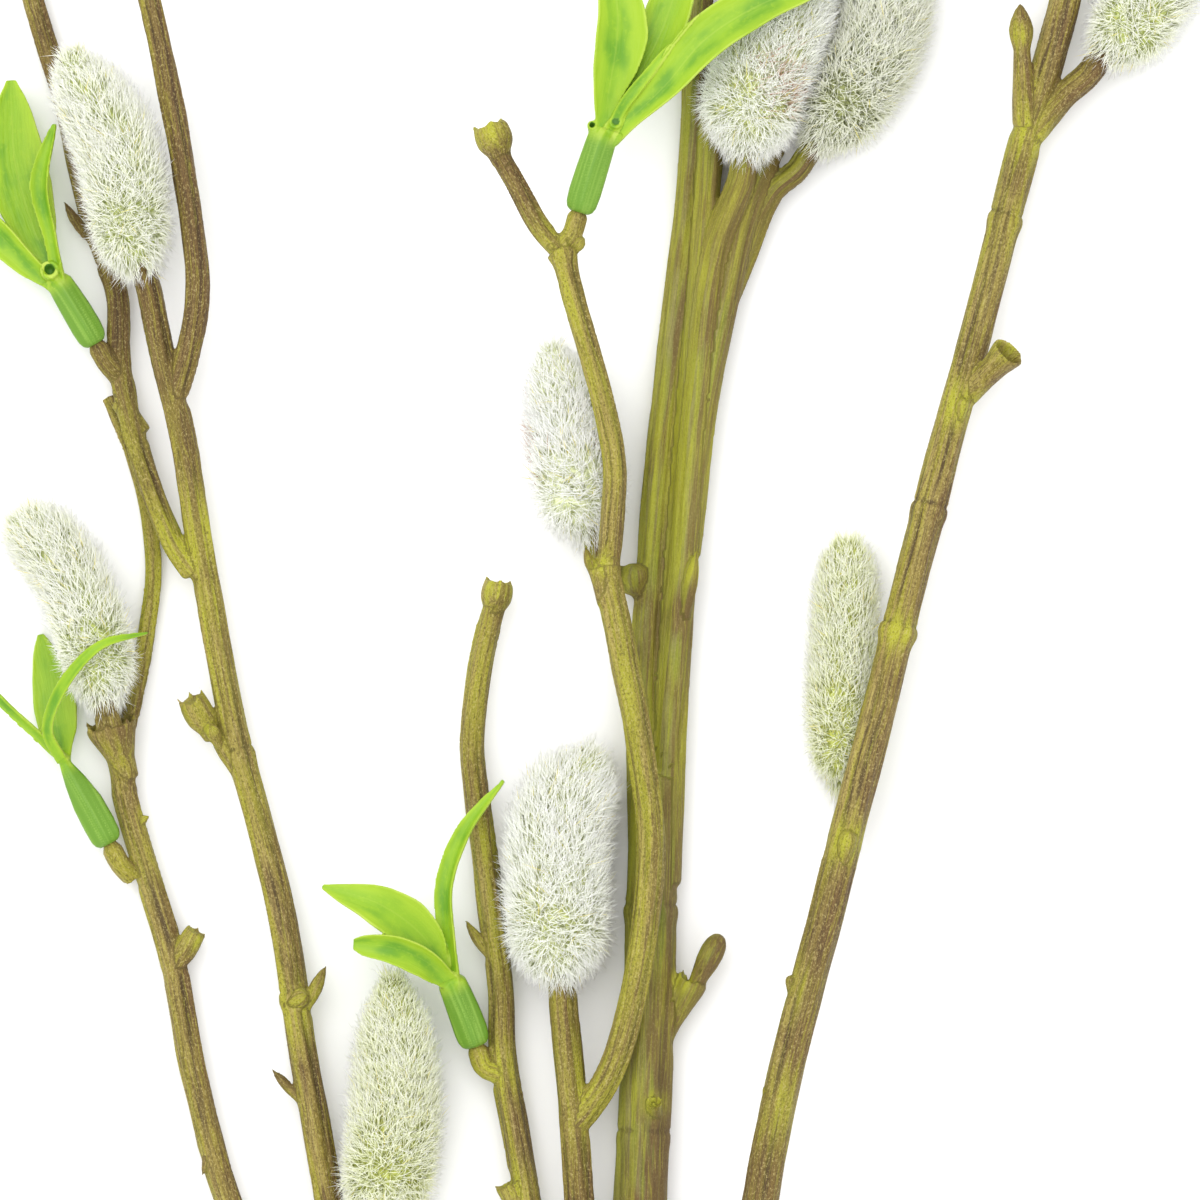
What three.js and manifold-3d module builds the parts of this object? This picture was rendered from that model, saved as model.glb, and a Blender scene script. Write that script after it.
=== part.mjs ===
// An artificial willow branch lying on a flat surface. A thick main stem carries moulded side
// twigs that push into sockets on it. Furry catkins are pushed over the twig ends, and green leaf
// sprigs slide over short pegs with their hollow sleeves.
// Millimetres. +Y runs from the cut end to the tips and +Z is up, away from the surface.

import * as THREE from 'three';
import { mergeVertices } from 'three/addons/utils/BufferGeometryUtils.js';
import Module from 'manifold-3d';

const wasm = await Module();
wasm.setup();

// ---------------------------------------------------------------- driving dimensions

// The points below are measured from the middle of the leafy part. This shift moves the whole
// branch so that the middle of its footprint is the origin.
const SHIFT = new THREE.Vector3(2.5, 52.9, 0);

const PEG_RADIUS = 0.95;
const PEG_LENGTH = 5;
const FIT_GAP = 0.3;
const SHOULDER_GAP = 0.5;
const BORE_RADIUS = PEG_RADIUS + FIT_GAP;
const BORE_DEPTH = PEG_LENGTH + SHOULDER_GAP;

const SOCKET_DEPTH = 6;
const SOCKET_WALL = 1.1;

const TWIG_SIDES = 8;
const TWIG_RING_SPACING = 14;
const CATKIN_SIDES = 9;
const BUD_SIDES = 5;
const LEAF_THICKNESS = 0.7;
const LEAF_STEPS_ACROSS = 2;
const LEAF_STEPS_ALONG = 6;

// Radius along a catkin's body, as [distance from base to tip, share of the largest radius].
const CATKIN_OUTLINE = [
  [0, 0.42], [0.08, 0.76], [0.24, 0.96], [0.5, 1], [0.74, 0.88], [0.9, 0.6], [0.98, 0.25],
];

// ---------------------------------------------------------------- catkins and sprigs

// Each catkin: its centre line from base to tip, and the largest radius of its dense body.
const CATKINS = {
  catkin_left_top: { line: [[-63.7, 45.3, 9.9], [-65.5, 52, 10.4], [-67.6, 62, 10.8], [-73.8, 77, 10.4]],
    radius: 6 },
  catkin_left_low: { line: [[-69.6, -13.4, 6.6], [-71.3, -6.4, 7.2], [-74, 1.6, 7.4], [-81.2, 12, 7]],
    radius: 4.9 },
  catkin_lower_left: { line: [[-30.8, -88.8, 6.8], [-28.9, -70, 7.2], [-29.2, -52.4, 7]], radius: 6 },
  catkin_centre: { line: [[-5.3, -54, 8.2], [-5.9, -40, 8.6], [-4.6, -29, 8.6], [-0.6, -20.8, 8.6]],
    radius: 7.2 },
  catkin_middle_back: { line: [[-0.8, 8.4, 6.4], [-2.7, 15, 6.8], [-4.6, 26, 6.9], [-7, 36, 6.8]],
    radius: 5.9 },
  catkin_right_low: { line: [[35.2, -28, 4.7], [33.9, -18, 4.5], [34.2, -6, 4.5], [34.7, 8.8, 4.5]],
    radius: 4.3 },
  catkin_top_front: { line: [[20.3, 61.6, 8.3], [21.9, 70.4, 9], [24.6, 79, 9.4], [29.4, 94.6, 9.4]],
    radius: 6.2 },
  catkin_top_back: { line: [[29.4, 62.8, 5.2], [34.2, 70, 5.6], [38.4, 78, 5.7], [43, 95, 5.5]],
    radius: 5.6 },
  catkin_right_top: { line: [[70, 75.7, 5.9], [75.8, 83.4, 6], [80.4, 91.6, 6], [83.4, 101.4, 5.8]],
    radius: 5.9 },
  catkin_left_tip: { line: [[-83.2, 111, 5], [-85.6, 125, 5.3], [-88.2, 141, 5.2]], radius: 5.2 },
  catkin_leader_tip: { line: [[15.6, 127, 5.9], [14.6, 140, 6], [11.6, 157, 5.8]], radius: 5.7 },
  catkin_right_tip: { line: [[71.2, 118.5, 6.4], [73.3, 133, 6.2], [74.6, 149, 6]], radius: 5.8 },
};

// Each sprig: a hollow sleeve (centre line and radii from its open end up) and its leaves. A leaf
// has a centre line, its full width, its roll about that line in degrees, and how far its edges
// curl up as a share of its half width.
const SPRIGS = {
  sprig_left_top: {
    sleeve: { line: [[-70.6, 35.8, 5.2], [-73, 40, 5.7], [-76.2, 45.2, 6.2]], radii: [1.75, 1.8, 1.35] },
    leaves: [
      { line: [[-75.6, 44.4, 6.2], [-76.4, 50.6, 7], [-78, 58, 8], [-76.2, 66.6, 8.6]],
        width: 3.6, roll: 45, curl: 0.5 },
      { line: [[-76, 44.8, 6], [-79.6, 54, 5], [-81.8, 63, 4.4], [-82.5, 72.7, 4.6]],
        width: 8, roll: -8, curl: 0.25 },
      { line: [[-75.8, 44.6, 6.2], [-82, 48.8, 6.6], [-91, 59, 5.6]], width: 4.6, roll: 24, curl: 0.4 },
    ],
  },
  sprig_left_low: {
    sleeve: { line: [[-68.7, -34.3, 4.8], [-71.6, -28.8, 5], [-75.2, -22.6, 4.8]], radii: [1.7, 2.1, 1.2] },
    leaves: [
      { line: [[-75, -22.8, 4.8], [-81, -17.4, 4.4], [-89, -8.6, 3.4]], width: 2.6, roll: 50, curl: 0.4 },
      { line: [[-75, -22.8, 4.6], [-76.6, -18, 2.4], [-76.4, -12, 1], [-78.6, -4.8, 1]],
        width: 6.4, roll: 0, curl: 0.06 },
      { line: [[-75.2, -22.6, 5.2], [-78.2, -18, 7.6], [-76.6, -12.4, 12.2], [-71.6, -7.4, 13.8],
        [-63.4, -4.6, 10]],
        width: 2.6, roll: 20, curl: 0.3 },
    ],
  },
  sprig_lower: {
    sleeve: { line: [[-17.3, -62.6, 5.6], [-19, -57.8, 6.2], [-21, -52.9, 7.4]], radii: [1.9, 2, 1.7] },
    leaves: [
      { line: [[-20.6, -53.6, 7.2], [-21.3, -45, 8], [-20, -36, 8.8], [-13.4, -25.2, 9.6]],
        width: 3.8, roll: 34, curl: 0.4 },
      { line: [[-20.8, -53.4, 7.2], [-25, -46.4, 10.6], [-31.4, -41.8, 12], [-38.6, -40, 11.4]],
        width: 6.6, roll: -14, curl: 0.3 },
      { line: [[-20.8, -53.2, 7.2], [-25.4, -49.2, 11.4], [-30, -48, 12.6], [-34.4, -48.2, 12]],
        width: 4.6, roll: 18, curl: 0.4 },
    ],
  },
  sprig_centre_top: {
    sleeve: { line: [[-3, 53.9, 13.5], [-1.3, 59.4, 13.8], [0.7, 65.6, 14.4]], radii: [2.1, 2.2, 1.8] },
    leaves: [
      { line: [[0.5, 65, 14.4], [1.5, 71.4, 15.4], [3.4, 78, 16.6], [-0.8, 85.6, 17]],
        width: 7.2, roll: -10, curl: 0.35 },
      { line: [[0.7, 65, 14.4], [4, 72, 15.6], [8.4, 80, 15.8], [12.2, 91, 15]],
        width: 6, roll: 24, curl: 0.35 },
      { line: [[0.6, 64.6, 14.4], [7.4, 69.8, 16.8], [13.6, 77.2, 18], [32.4, 86, 17.6]],
        width: 6.4, roll: 20, curl: 0.4 },
    ],
  },
  sprig_left_tip: {
    sleeve: { line: [[-70.5, 117.6, 8.4], [-71.8, 123, 8.7], [-73.6, 129, 9]], radii: [1.8, 1.9, 1.5] },
    leaves: [
      { line: [[-73.4, 128.4, 9], [-78.4, 138, 12], [-82.4, 148, 12.4]], width: 6, roll: -16, curl: 0.3 },
      { line: [[-73.5, 128.6, 9], [-74.6, 140, 10.4], [-73, 153, 9.6]], width: 6.2, roll: 8, curl: 0.35 },
      { line: [[-73.4, 128.4, 9], [-68, 136.5, 9.4], [-62.4, 145, 7.4]], width: 5, roll: 20, curl: 0.4 },
    ],
  },
  sprig_leader_tip: {
    sleeve: { line: [[19.6, 108.2, 6.8], [21.2, 112.2, 7.3], [23.6, 116.6, 7.8]], radii: [1.8, 1.9, 1.5] },
    leaves: [
      { line: [[23.2, 116, 7.7], [31, 121, 8], [39.5, 123.4, 5.4]], width: 6, roll: 14, curl: 0.3 },
      { line: [[23.3, 116.2, 7.7], [26.6, 127, 9.4], [27.4, 140, 8.4]], width: 5.6, roll: -8, curl: 0.35 },
      { line: [[23.3, 116.2, 7.7], [23, 122, 10], [23.2, 129, 11.4]], width: 3.6, roll: -24, curl: 0.4 },
    ],
  },
};

// ---------------------------------------------------------------- twigs

// Where a separate side twig pushes into another: the mouth's centre, the way out of the mouth
// and the radius of the twig there.
const SOCKETS = {
  left_twig: { root: [-1.6, -203, 4.3], mouth: [-8.6, -187, 5], radius: 2.2 },
  left_outer_twig: { root: [-30.2, -127, 4.6], mouth: [-36.4, -114.6, 4.4], radius: 1.8 },
  centre_twig: { root: [3.4, -155, 4.6], mouth: [-0.4, -137, 7.2], radius: 2.1 },
  inner_left_twig: { root: [-1.4, -116, 7], mouth: [-5.6, -104.4, 6.2], radius: 1.8 },
  right_stem: { root: [2.2, -175, 4.4], mouth: [9, -154.4, 6.8], radius: 2.5 },
};

// Each twig: its shoots (centre line and the radii at its two ends), the ring nodes that circle
// them, the pointed buds, the open cups left by lost side twigs, what it carries, and the sockets
// it offers. "plug" names the socket the twig itself pushes into.
const TWIGS = {
  main_stem: {
    shoots: [
      { line: [[-9.5, -262, 4.8], [-6, -231, 4.65], [0, -190, 4.5], [4, -147, 4.3], [5.2, -110, 4.15],
        [5.9, -80, 4], [7, -52, 3.85], [7.7, -24, 3.8]], radii: [4.6, 3.5] },
      { line: [[6.2, -40, 3.7], [5.9, -18.5, 3.5], [7.3, 6.6, 3], [9.2, 28, 2.6], [12.1, 52, 2.4],
        [14.1, 84, 3], [15.6, 105, 4.4]], radii: [2.2, 1.7], seat: 'catkin_leader_tip' },
      { line: [[9.2, -40, 4], [9.9, -18.5, 4.3], [11.8, 6.6, 4.9], [13.6, 28, 5.4], [16.3, 49, 6.6]],
        radii: [2.3, 1.9], seat: 'catkin_top_front' },
      { line: [[9.6, -14, 4], [11, 6, 4.2], [12.7, 28, 4.6], [14.2, 45, 5], [15, 55.6, 5.4]],
        radii: [1.6, 1.8] },
      { line: [[12.4, 6, 4.6], [14.6, 26, 5], [17.6, 42, 5.4], [19.8, 53, 5.6], [20.6, 57, 5.6]],
        radii: [1.7, 2] },
      { line: [[13.6, 29, 5.2], [17.2, 40.4, 4.2], [20.2, 48.3, 3.7], [24, 57, 3.9]], radii: [1.8, 1.6],
        seat: 'catkin_top_back' },
      { line: [[7.4, 1.6, 3.2], [3.6, 2.6, 4]], radii: [1.7, 1.4], seat: 'catkin_middle_back' },
    ],
    pegs: [{ root: [15.5, 103, 4.4], sprig: 'sprig_leader_tip' }],
    rings: [{ at: [7.4, -43.7, 4], radius: 3.95 }],
    buds: [
      { root: [8, -73.5, 5.6], tip: [8, -66.4, 8], radius: 1.3 },
      { root: [11.6, 0.6, 5.4], tip: [13.7, 8, 6.6], radius: 1.7 },
      { root: [11, -56.2, 4], tip: [17.2, -47, 4.4], radius: 1.15 },
      { root: [5.2, 1.8, 4.4], tip: [3.8, 4.6, 5], radius: 1.8 },
    ],
    cups: [{ root: [8, -60, 4], mouth: [13.9, -52.2, 4], radius: 1.9, prongs: 0 }],
    sockets: ['left_twig', 'centre_twig', 'right_stem'],
  },
  right_stem: {
    plug: 'right_stem',
    shoots: [
      { line: [[12.4, -138, 8.2], [18.4, -108, 9.4], [25.2, -69, 10.6], [32.1, -42.3, 11.3],
        [35.6, -28, 11.4],
        [39.1, -14.8, 10.5], [42.6, -0.6, 9], [48.2, 20.9, 7], [55.6, 48.3, 5.4], [59.2, 62.6, 5.2],
        [65.2, 84, 5.6], [69, 103, 6.2]], radii: [2.6, 2.1], seat: 'catkin_right_tip' },
      { line: [[60.4, 65, 5.3], [65, 70.6, 5.8]], radii: [1.9, 1.7], seat: 'catkin_right_top' },
      { line: [[33.8, -35.6, 10.8], [33.8, -33, 7.4], [34.6, -30.6, 5.4]],
        radii: [1.7, 1.5], seat: 'catkin_right_low' },
    ],
    rings: [{ at: [45.9, 12.3, 7.8], radius: 2.7 }, { at: [56.8, 53, 5.3], radius: 2.75 }],
    buds: [
      { root: [59.6, 66.6, 6], tip: [58.8, 83.4, 8], radius: 1.7 },
      { root: [50, 24.6, 8.2], tip: [51.2, 29.6, 9.2], radius: 1.2 },
      { root: [33.8, -36.6, 13], tip: [35.4, -31.8, 14], radius: 1.3 },
      { root: [26, -56, 10.8], tip: [26.2, -51.4, 11.2], radius: 1 },
      { root: [23.8, -71.4, 10.4], tip: [22.6, -67.2, 10.6], radius: 1 },
    ],
    cups: [{ root: [51.2, 27.6, 6.8], mouth: [56.5, 35, 6.4], radius: 1.8, prongs: 0 }],
  },
  centre_twig: {
    plug: 'centre_twig',
    shoots: [
      { line: [[-1.4, -118, 7], [-2.9, -84, 7.2], [-4.4, -65, 7.8]],
        radii: [2.15, 2], seat: 'catkin_centre' },
      { line: [[-3.6, -73.5, 7.5], [-1.6, -71, 7.9], [1.6, -65.6, 9.4], [4.3, -56.6, 10.6],
        [6.6, -42.3, 11.2],
        [7.1, -33, 11.2], [5.9, -22, 11.2], [3.2, -7.7, 11.6], [1, 3.6, 12.6], [0.9, 5.6, 13]],
          radii: [1.95, 1.95] },
      { line: [[1, 3.4, 12.6], [1.7, 11, 14.2], [2, 19, 15], [0.3, 28, 15.4], [-3.5, 41.2, 14.4],
        [-5.6, 49.6, 13.8]], radii: [1.65, 1.6] },
      { line: [[-5.4, 48.4, 13.8], [-8.4, 52, 13.8], [-11.4, 57.4, 13.6], [-13.8, 61.6, 13.6]],
        radii: [1.45, 1.45] },
    ],
    pegs: [{ root: [-5.2, 49.4, 13.7], sprig: 'sprig_centre_top' }],
    rings: [{ at: [0.7, 4.8, 12.9], radius: 2.25 }],
    buds: [{ root: [-0.9, 4.6, 13], tip: [-1.4, 8, 13.4], radius: 0.8 }],
    cups: [
      { root: [-13.2, 60.6, 13.6], mouth: [-15.4, 66, 13.6], radius: 2.6, prongs: 4 },
      { root: [-5.6, 48, 13.7], mouth: [-4, 52.2, 13.6], radius: 1.95, prongs: 0, solid: true },
    ],
    sockets: ['inner_left_twig'],
  },
  inner_left_twig: {
    plug: 'inner_left_twig',
    shoots: [
      { line: [[-8.4, -94, 5.3], [-11.4, -77, 4.6], [-13.6, -63.7, 4.4], [-13.8, -55, 4.4],
        [-15.4, -42, 4.4],
        [-17.2, -28, 4.4], [-17.9, -20, 4.5], [-16.7, -9, 4.7], [-14.7, -0.4, 5]], radii: [1.85, 1.6] },
    ],
    pegs: [{ root: [-14.4, -66.4, 4.7], sprig: 'sprig_lower' }],
    buds: [{ root: [-15.6, -50, 4.6], tip: [-18.8, -44.6, 5], radius: 1 }],
    cups: [
      { root: [-14.9, -1.4, 5], mouth: [-14.1, 3.2, 5.1], radius: 2.3, prongs: 4 },
      { root: [-11.4, -85.6, 5], mouth: [-13, -81.8, 5.6], radius: 1.8, prongs: 3 },
    ],
  },
  left_twig: {
    plug: 'left_twig',
    shoots: [
      { line: [[-16.4, -165, 5], [-24.2, -145, 4.8], [-30, -124, 4.6], [-38.1, -84, 4.4],
        [-42.2, -60.2, 4.5],
        [-45.1, -42.3, 4.7], [-52.1, -14.8, 5.2], [-56.1, 8, 5.8], [-58.6, 23, 7], [-61.2, 34, 8.3]],
      radii: [2.2, 1.75], seat: 'catkin_left_top' },
      { line: [[-57, 3.6, 5.6], [-59.9, 8, 5.4], [-64.7, 20.9, 4.6], [-67.5, 33, 3.6], [-67.9, 43, 2.5],
        [-71.6, 53.6, 1.75], [-75.3, 69.7, 1.7], [-79.5, 84, 2.3], [-82, 98, 3.6]], radii: [1.65, 1.4],
      seat: 'catkin_left_tip' },
      { line: [[-59.4, 28.6, 7.6], [-57.8, 34, 9.2], [-56.4, 42, 10.6], [-57, 52, 11], [-61.5, 76.9, 9.8],
        [-66, 97, 8.6]], radii: [1.7, 1.45], seat: 'sprig_left_tip' },
    ],
    pegs: [{ root: [-67.7, 31.6, 3.9], sprig: 'sprig_left_top' }],
    rings: [{ at: [-42.4, -56, 4.5], radius: 2.35 }],
    buds: [
      { root: [-41, -57.6, 4.8], tip: [-38.4, -51.4, 5.6], radius: 1.2 },
      { root: [-42, -70.2, 4.6], tip: [-46.1, -65.6, 5], radius: 0.95 },
      { root: [-72, 51.6, 2.4], tip: [-75.4, 56, 3], radius: 0.9 },
      { root: [-33.6, -106, 5], tip: [-36.6, -100, 6], radius: 0.9 },
    ],
    stalks: [{ line: [[-34, -105, 4.6], [-32.8, -98.6, 5.6]],
      radii: [1.6, 1.5], seat: 'catkin_lower_left' }],
    cups: [{ root: [-51.8, -19.4, 5.4], mouth: [-57.2, -14, 6], radius: 1.7, prongs: 4 }],
    sockets: ['left_outer_twig'],
  },
  left_outer_twig: {
    plug: 'left_outer_twig',
    shoots: [
      { line: [[-43.4, -103, 4], [-52.2, -84, 3.2], [-56.8, -67, 2.8], [-60.2, -49.4, 2.7],
        [-63.6, -38, 2.8],
        [-66.4, -28, 3], [-67.8, -19.6, 4]], radii: [1.85, 1.75], seat: 'catkin_left_low' },
      { line: [[-67.2, -22, 3.2], [-65.4, -13.4, 2.4], [-63.6, -4.2, 1.6], [-62.7, 5, 1.35],
        [-64, 14.6, 1.35],
        [-66.8, 23.6, 1.5], [-69, 28.6, 1.8]], radii: [1.25, 0.9] },
    ],
    pegs: [{ root: [-65.7, -38.8, 3.2], sprig: 'sprig_left_low' }],
    buds: [
      { root: [-64.8, -32.2, 3.2], tip: [-62.8, -30.4, 3.4], radius: 0.7 },
      { root: [-54.6, -75.4, 3.2], tip: [-55.8, -81, 4.4], radius: 0.6 },
    ],
    cups: [
      { root: [-60, -52.6, 3], mouth: [-56.4, -46.2, 4.2], radius: 1.8, prongs: 5 },
    ],
    collars: [{ root: [-67.7, -20.6, 3.7], mouth: [-69.1, -15, 5.8], radii: [1.9, 3.8] }],
  },
};

// ---------------------------------------------------------------- solids

const vector = (p) => (p.isVector3 ? p.clone() : new THREE.Vector3(...p));
const curveThrough = (line) => new THREE.CatmullRomCurve3(line.map(vector), false, 'centripetal');
const partWay = (from, to, share) => from + (to - from) * share;

// A closed three.js geometry as a manifold solid.
function solidOf(geometry) {
  geometry.deleteAttribute('normal');
  geometry.deleteAttribute('uv');
  const merged = mergeVertices(geometry, 1e-4);
  const index = merged.index.array;
  const triangles = [];
  for (let i = 0; i < index.length; i += 3) {
    const [a, b, c] = [index[i], index[i + 1], index[i + 2]];
    if (a !== b && b !== c && c !== a) triangles.push(a, b, c);
  }
  return new wasm.Manifold(new wasm.Mesh({
    numProp: 3,
    vertProperties: new Float32Array(merged.attributes.position.array),
    triVerts: new Uint32Array(triangles),
  }));
}

// A manifold solid as a three.js geometry with flat-shaded faces.
function geometryOf(solid) {
  const { vertProperties, triVerts } = solid.getMesh();
  const geometry = new THREE.BufferGeometry();
  geometry.setAttribute('position', new THREE.BufferAttribute(new Float32Array(vertProperties), 3));
  geometry.setIndex(new THREE.BufferAttribute(new Uint32Array(triVerts), 1));
  geometry.computeVertexNormals();
  return geometry;
}

const joined = (solids) => solids.reduce((whole, solid) => whole.add(solid));

// A round solid turned about a straight axis and then bent along a curve. The outline is a list
// of [share of the curve's length, radius].
function bentLathe(curve, outline, sides) {
  const stations = outline.length + 2;
  const profile = [new THREE.Vector2(0, 0)];
  outline.forEach(([, radius], i) => profile.push(new THREE.Vector2(radius, i + 1)));
  profile.push(new THREE.Vector2(0, stations - 1));
  const geometry = new THREE.LatheGeometry(profile, sides);

  const FRAME_STEPS = 60;
  const frames = curve.computeFrenetFrames(FRAME_STEPS, false);
  const shares = [outline[0][0], ...outline.map(([share]) => share), outline[outline.length - 1][0]];
  const position = geometry.attributes.position;
  const point = new THREE.Vector3();
  for (let i = 0; i < position.count; i += 1) {
    const share = shares[Math.round(position.getY(i))];
    const step = Math.round(share * FRAME_STEPS);
    const across = frames.normals[step];
    const upward = new THREE.Vector3().crossVectors(across, frames.tangents[step]);
    curve.getPointAt(share, point);
    point.addScaledVector(across, position.getX(i)).addScaledVector(upward, position.getZ(i));
    position.setXYZ(i, point.x, point.y, point.z);
  }
  return solidOf(geometry);
}

// A straight round solid from one point to another through the given [share, radius] outline.
function turned(from, to, outline, sides) {
  return bentLathe(new THREE.LineCurve3(vector(from), vector(to)), outline, sides);
}

function shootSolid(line, [startRadius, endRadius]) {
  const curve = curveThrough(line);
  const count = Math.max(2, Math.round(curve.getLength() / TWIG_RING_SPACING));
  const outline = Array.from({ length: count + 1 }, (_, i) => [
    i / count, partWay(startRadius, endRadius, i / count)]);
  return bentLathe(curve, outline, TWIG_SIDES);
}

// The line that a pushed-on piece starts along: its base point and direction.
function seatOf(name) {
  const line = (CATKINS[name] ?? SPRIGS[name].sleeve).line;
  const curve = curveThrough(line);
  return { base: vector(line[0]), direction: curve.getTangentAt(0) };
}

function pegSolid(name) {
  const { base, direction } = seatOf(name);
  const from = base.clone().addScaledVector(direction, -SHOULDER_GAP - 2);
  const to = base.clone().addScaledVector(direction, PEG_LENGTH - SHOULDER_GAP);
  return turned(from, to, [[0, PEG_RADIUS], [0.9, PEG_RADIUS], [1, PEG_RADIUS * 0.7]], TWIG_SIDES);
}

function boreSolid(name) {
  const { base, direction } = seatOf(name);
  const from = base.clone().addScaledVector(direction, -1);
  const to = base.clone().addScaledVector(direction, BORE_DEPTH);
  return turned(from, to, [[0, BORE_RADIUS], [1, BORE_RADIUS]], TWIG_SIDES);
}

// The line of a shoot that ends just short of what is pushed on it.
function seatedLine(line, name) {
  const { base, direction } = seatOf(name);
  const before = base.clone().addScaledVector(direction, -SHOULDER_GAP - 2.5);
  return [...line.map(vector), before, base.addScaledVector(direction, -SHOULDER_GAP)];
}

function seatedShoot({ line, radii, seat }) {
  if (!seat) return shootSolid(line, radii);
  return shootSolid(seatedLine(line, seat), radii).add(pegSolid(seat));
}

// A short arm from a twig to a sleeve's open end, with the peg that fills the sleeve.
function sprigPeg({ root, sprig }) {
  return shootSolid(seatedLine([root], sprig), [1.5, 1.35]).add(pegSolid(sprig));
}

function budSolid({ root, tip, radius }) {
  const outline = [[0, radius * 0.75], [0.4, radius], [0.97, radius * 0.15]];
  return turned(root, tip, outline, BUD_SIDES);
}

// A low collar around a shoot, where a ring node circles it. It lies across the branch's length.
function ringSolid({ at, radius }) {
  const HALF_LENGTH = 1.3;
  const from = vector(at).add(new THREE.Vector3(-HALF_LENGTH * 0.25, -HALF_LENGTH, 0));
  const to = vector(at).add(new THREE.Vector3(HALF_LENGTH * 0.25, HALF_LENGTH, 0));
  return turned(from, to, [[0, radius * 0.88], [0.5, radius], [1, radius * 0.88]], TWIG_SIDES);
}

// Small teeth that stand around the rim of a cup.
function crownSolid(root, mouth, radius, count) {
  const curve = new THREE.LineCurve3(vector(root), vector(mouth));
  const { normals, tangents } = curve.computeFrenetFrames(1, false);
  const sideways = new THREE.Vector3().crossVectors(normals[1], tangents[1]);
  const teeth = [];
  for (let i = 0; i < count; i += 1) {
    const angle = (i / count) * 2 * Math.PI;
    const foot = vector(mouth)
      .addScaledVector(normals[1], radius * 0.86 * Math.cos(angle))
      .addScaledVector(sideways, radius * 0.86 * Math.sin(angle));
    const start = foot.clone().addScaledVector(tangents[1], -0.5);
    const end = foot.clone().addScaledVector(tangents[1], 1.1);
    teeth.push(turned(start, end, [[0, 0.42], [0.97, 0.12]], 3));
  }
  return joined(teeth);
}

// An open cup with a flared rim, left where a side twig could be pushed in.
function cupSolid({ root, mouth, radius, prongs, solid }) {
  const outline = [[0, radius * 0.7], [0.55, radius * 0.82], [0.85, radius], [1, radius * 0.95]];
  let cup = turned(root, mouth, outline, TWIG_SIDES);
  if (prongs > 0) cup = cup.add(crownSolid(root, mouth, radius, prongs));
  if (solid) return cup;
  const start = vector(mouth).lerp(vector(root), 0.35);
  const end = vector(mouth).lerp(vector(root), -0.4);
  return cup.subtract(turned(start, end, [[0, radius * 0.45], [1, radius * 0.6]], BUD_SIDES));
}

// A wide flared collar that the base of a catkin sits against.
function collarSolid({ root, mouth, radii }) {
  return turned(root, mouth, [[0, radii[0]], [0.4, radii[0] * 1.15], [0.9, radii[1]],
    [1, radii[1] * 0.92]], CATKIN_SIDES);
}

function socketSolid(name) {
  const { root, mouth, radius } = SOCKETS[name];
  const outer = radius + SOCKET_WALL - FIT_GAP;
  return turned(root, mouth, [[0, outer * 0.75], [0.6, outer * 0.9], [1, outer]], TWIG_SIDES);
}

function socketBore(name) {
  const { root, mouth, radius } = SOCKETS[name];
  const out = vector(mouth).sub(vector(root)).normalize();
  const start = vector(mouth).addScaledVector(out, -SOCKET_DEPTH);
  const end = vector(mouth).addScaledVector(out, 1);
  return turned(start, end, [[0, radius - FIT_GAP], [1, radius - FIT_GAP]], TWIG_SIDES);
}

// The plug of a side twig, and the stretch of it from the socket's mouth to its first point.
function plugSolid(name, firstPoint, radiusThere) {
  const { root, mouth, radius } = SOCKETS[name];
  const out = vector(mouth).sub(vector(root)).normalize();
  const inside = vector(mouth).addScaledVector(out, SHOULDER_GAP - SOCKET_DEPTH);
  const shoulder = vector(mouth).addScaledVector(out, SHOULDER_GAP);
  const beyond = vector(mouth).addScaledVector(out, 2);
  const plugRadius = radius - 2 * FIT_GAP;
  const plug = turned(inside, beyond, [[0, plugRadius], [1, plugRadius]], TWIG_SIDES);
  return plug.add(shootSolid([shoulder, beyond, firstPoint], [radius, radiusThere]));
}

function catkinSolid(name) {
  const { line, radius } = CATKINS[name];
  const outline = CATKIN_OUTLINE.map(([share, part]) => [share, part * radius]);
  return bentLathe(curveThrough(line), outline, CATKIN_SIDES).subtract(boreSolid(name));
}

// Half the leaf's width along it, as a share of the widest: a narrow foot, a full middle, a point.
function leafWidthShare(along) {
  return Math.max(0.12, Math.sin(Math.PI * Math.pow(along * 0.94 + 0.05, 0.85)));
}

function leafSolid({ line, width, roll, curl }) {
  const curve = curveThrough(line);
  const geometry = new THREE.BoxGeometry(2, LEAF_THICKNESS, 1, LEAF_STEPS_ACROSS, 1, LEAF_STEPS_ALONG);
  const position = geometry.attributes.position;
  const up = new THREE.Vector3(0, 0, 1);
  for (let i = 0; i < position.count; i += 1) {
    const [across, thickness, along] = [position.getX(i), position.getY(i), position.getZ(i) + 0.5];
    const tangent = curve.getTangentAt(along);
    const face = up.clone().addScaledVector(tangent, -up.dot(tangent)).normalize();
    face.applyAxisAngle(tangent, THREE.MathUtils.degToRad(roll));
    const side = new THREE.Vector3().crossVectors(face, tangent);
    const halfWidth = (width / 2) * leafWidthShare(along);
    const point = curve.getPointAt(along)
      .addScaledVector(side, across * halfWidth)
      .addScaledVector(face, thickness + curl * across * across * halfWidth);
    position.setXYZ(i, point.x, point.y, point.z);
  }
  return solidOf(geometry);
}

function sprigSolid(name) {
  const { sleeve, leaves } = SPRIGS[name];
  const [openRadius, middleRadius, topRadius] = sleeve.radii;
  const outline = [[0, openRadius], [0.5, middleRadius], [0.85, topRadius], [1, topRadius * 0.7]];
  const body = bentLathe(curveThrough(sleeve.line), outline, TWIG_SIDES);
  return joined([body, ...leaves.map(leafSolid)]).subtract(boreSolid(name));
}

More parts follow.
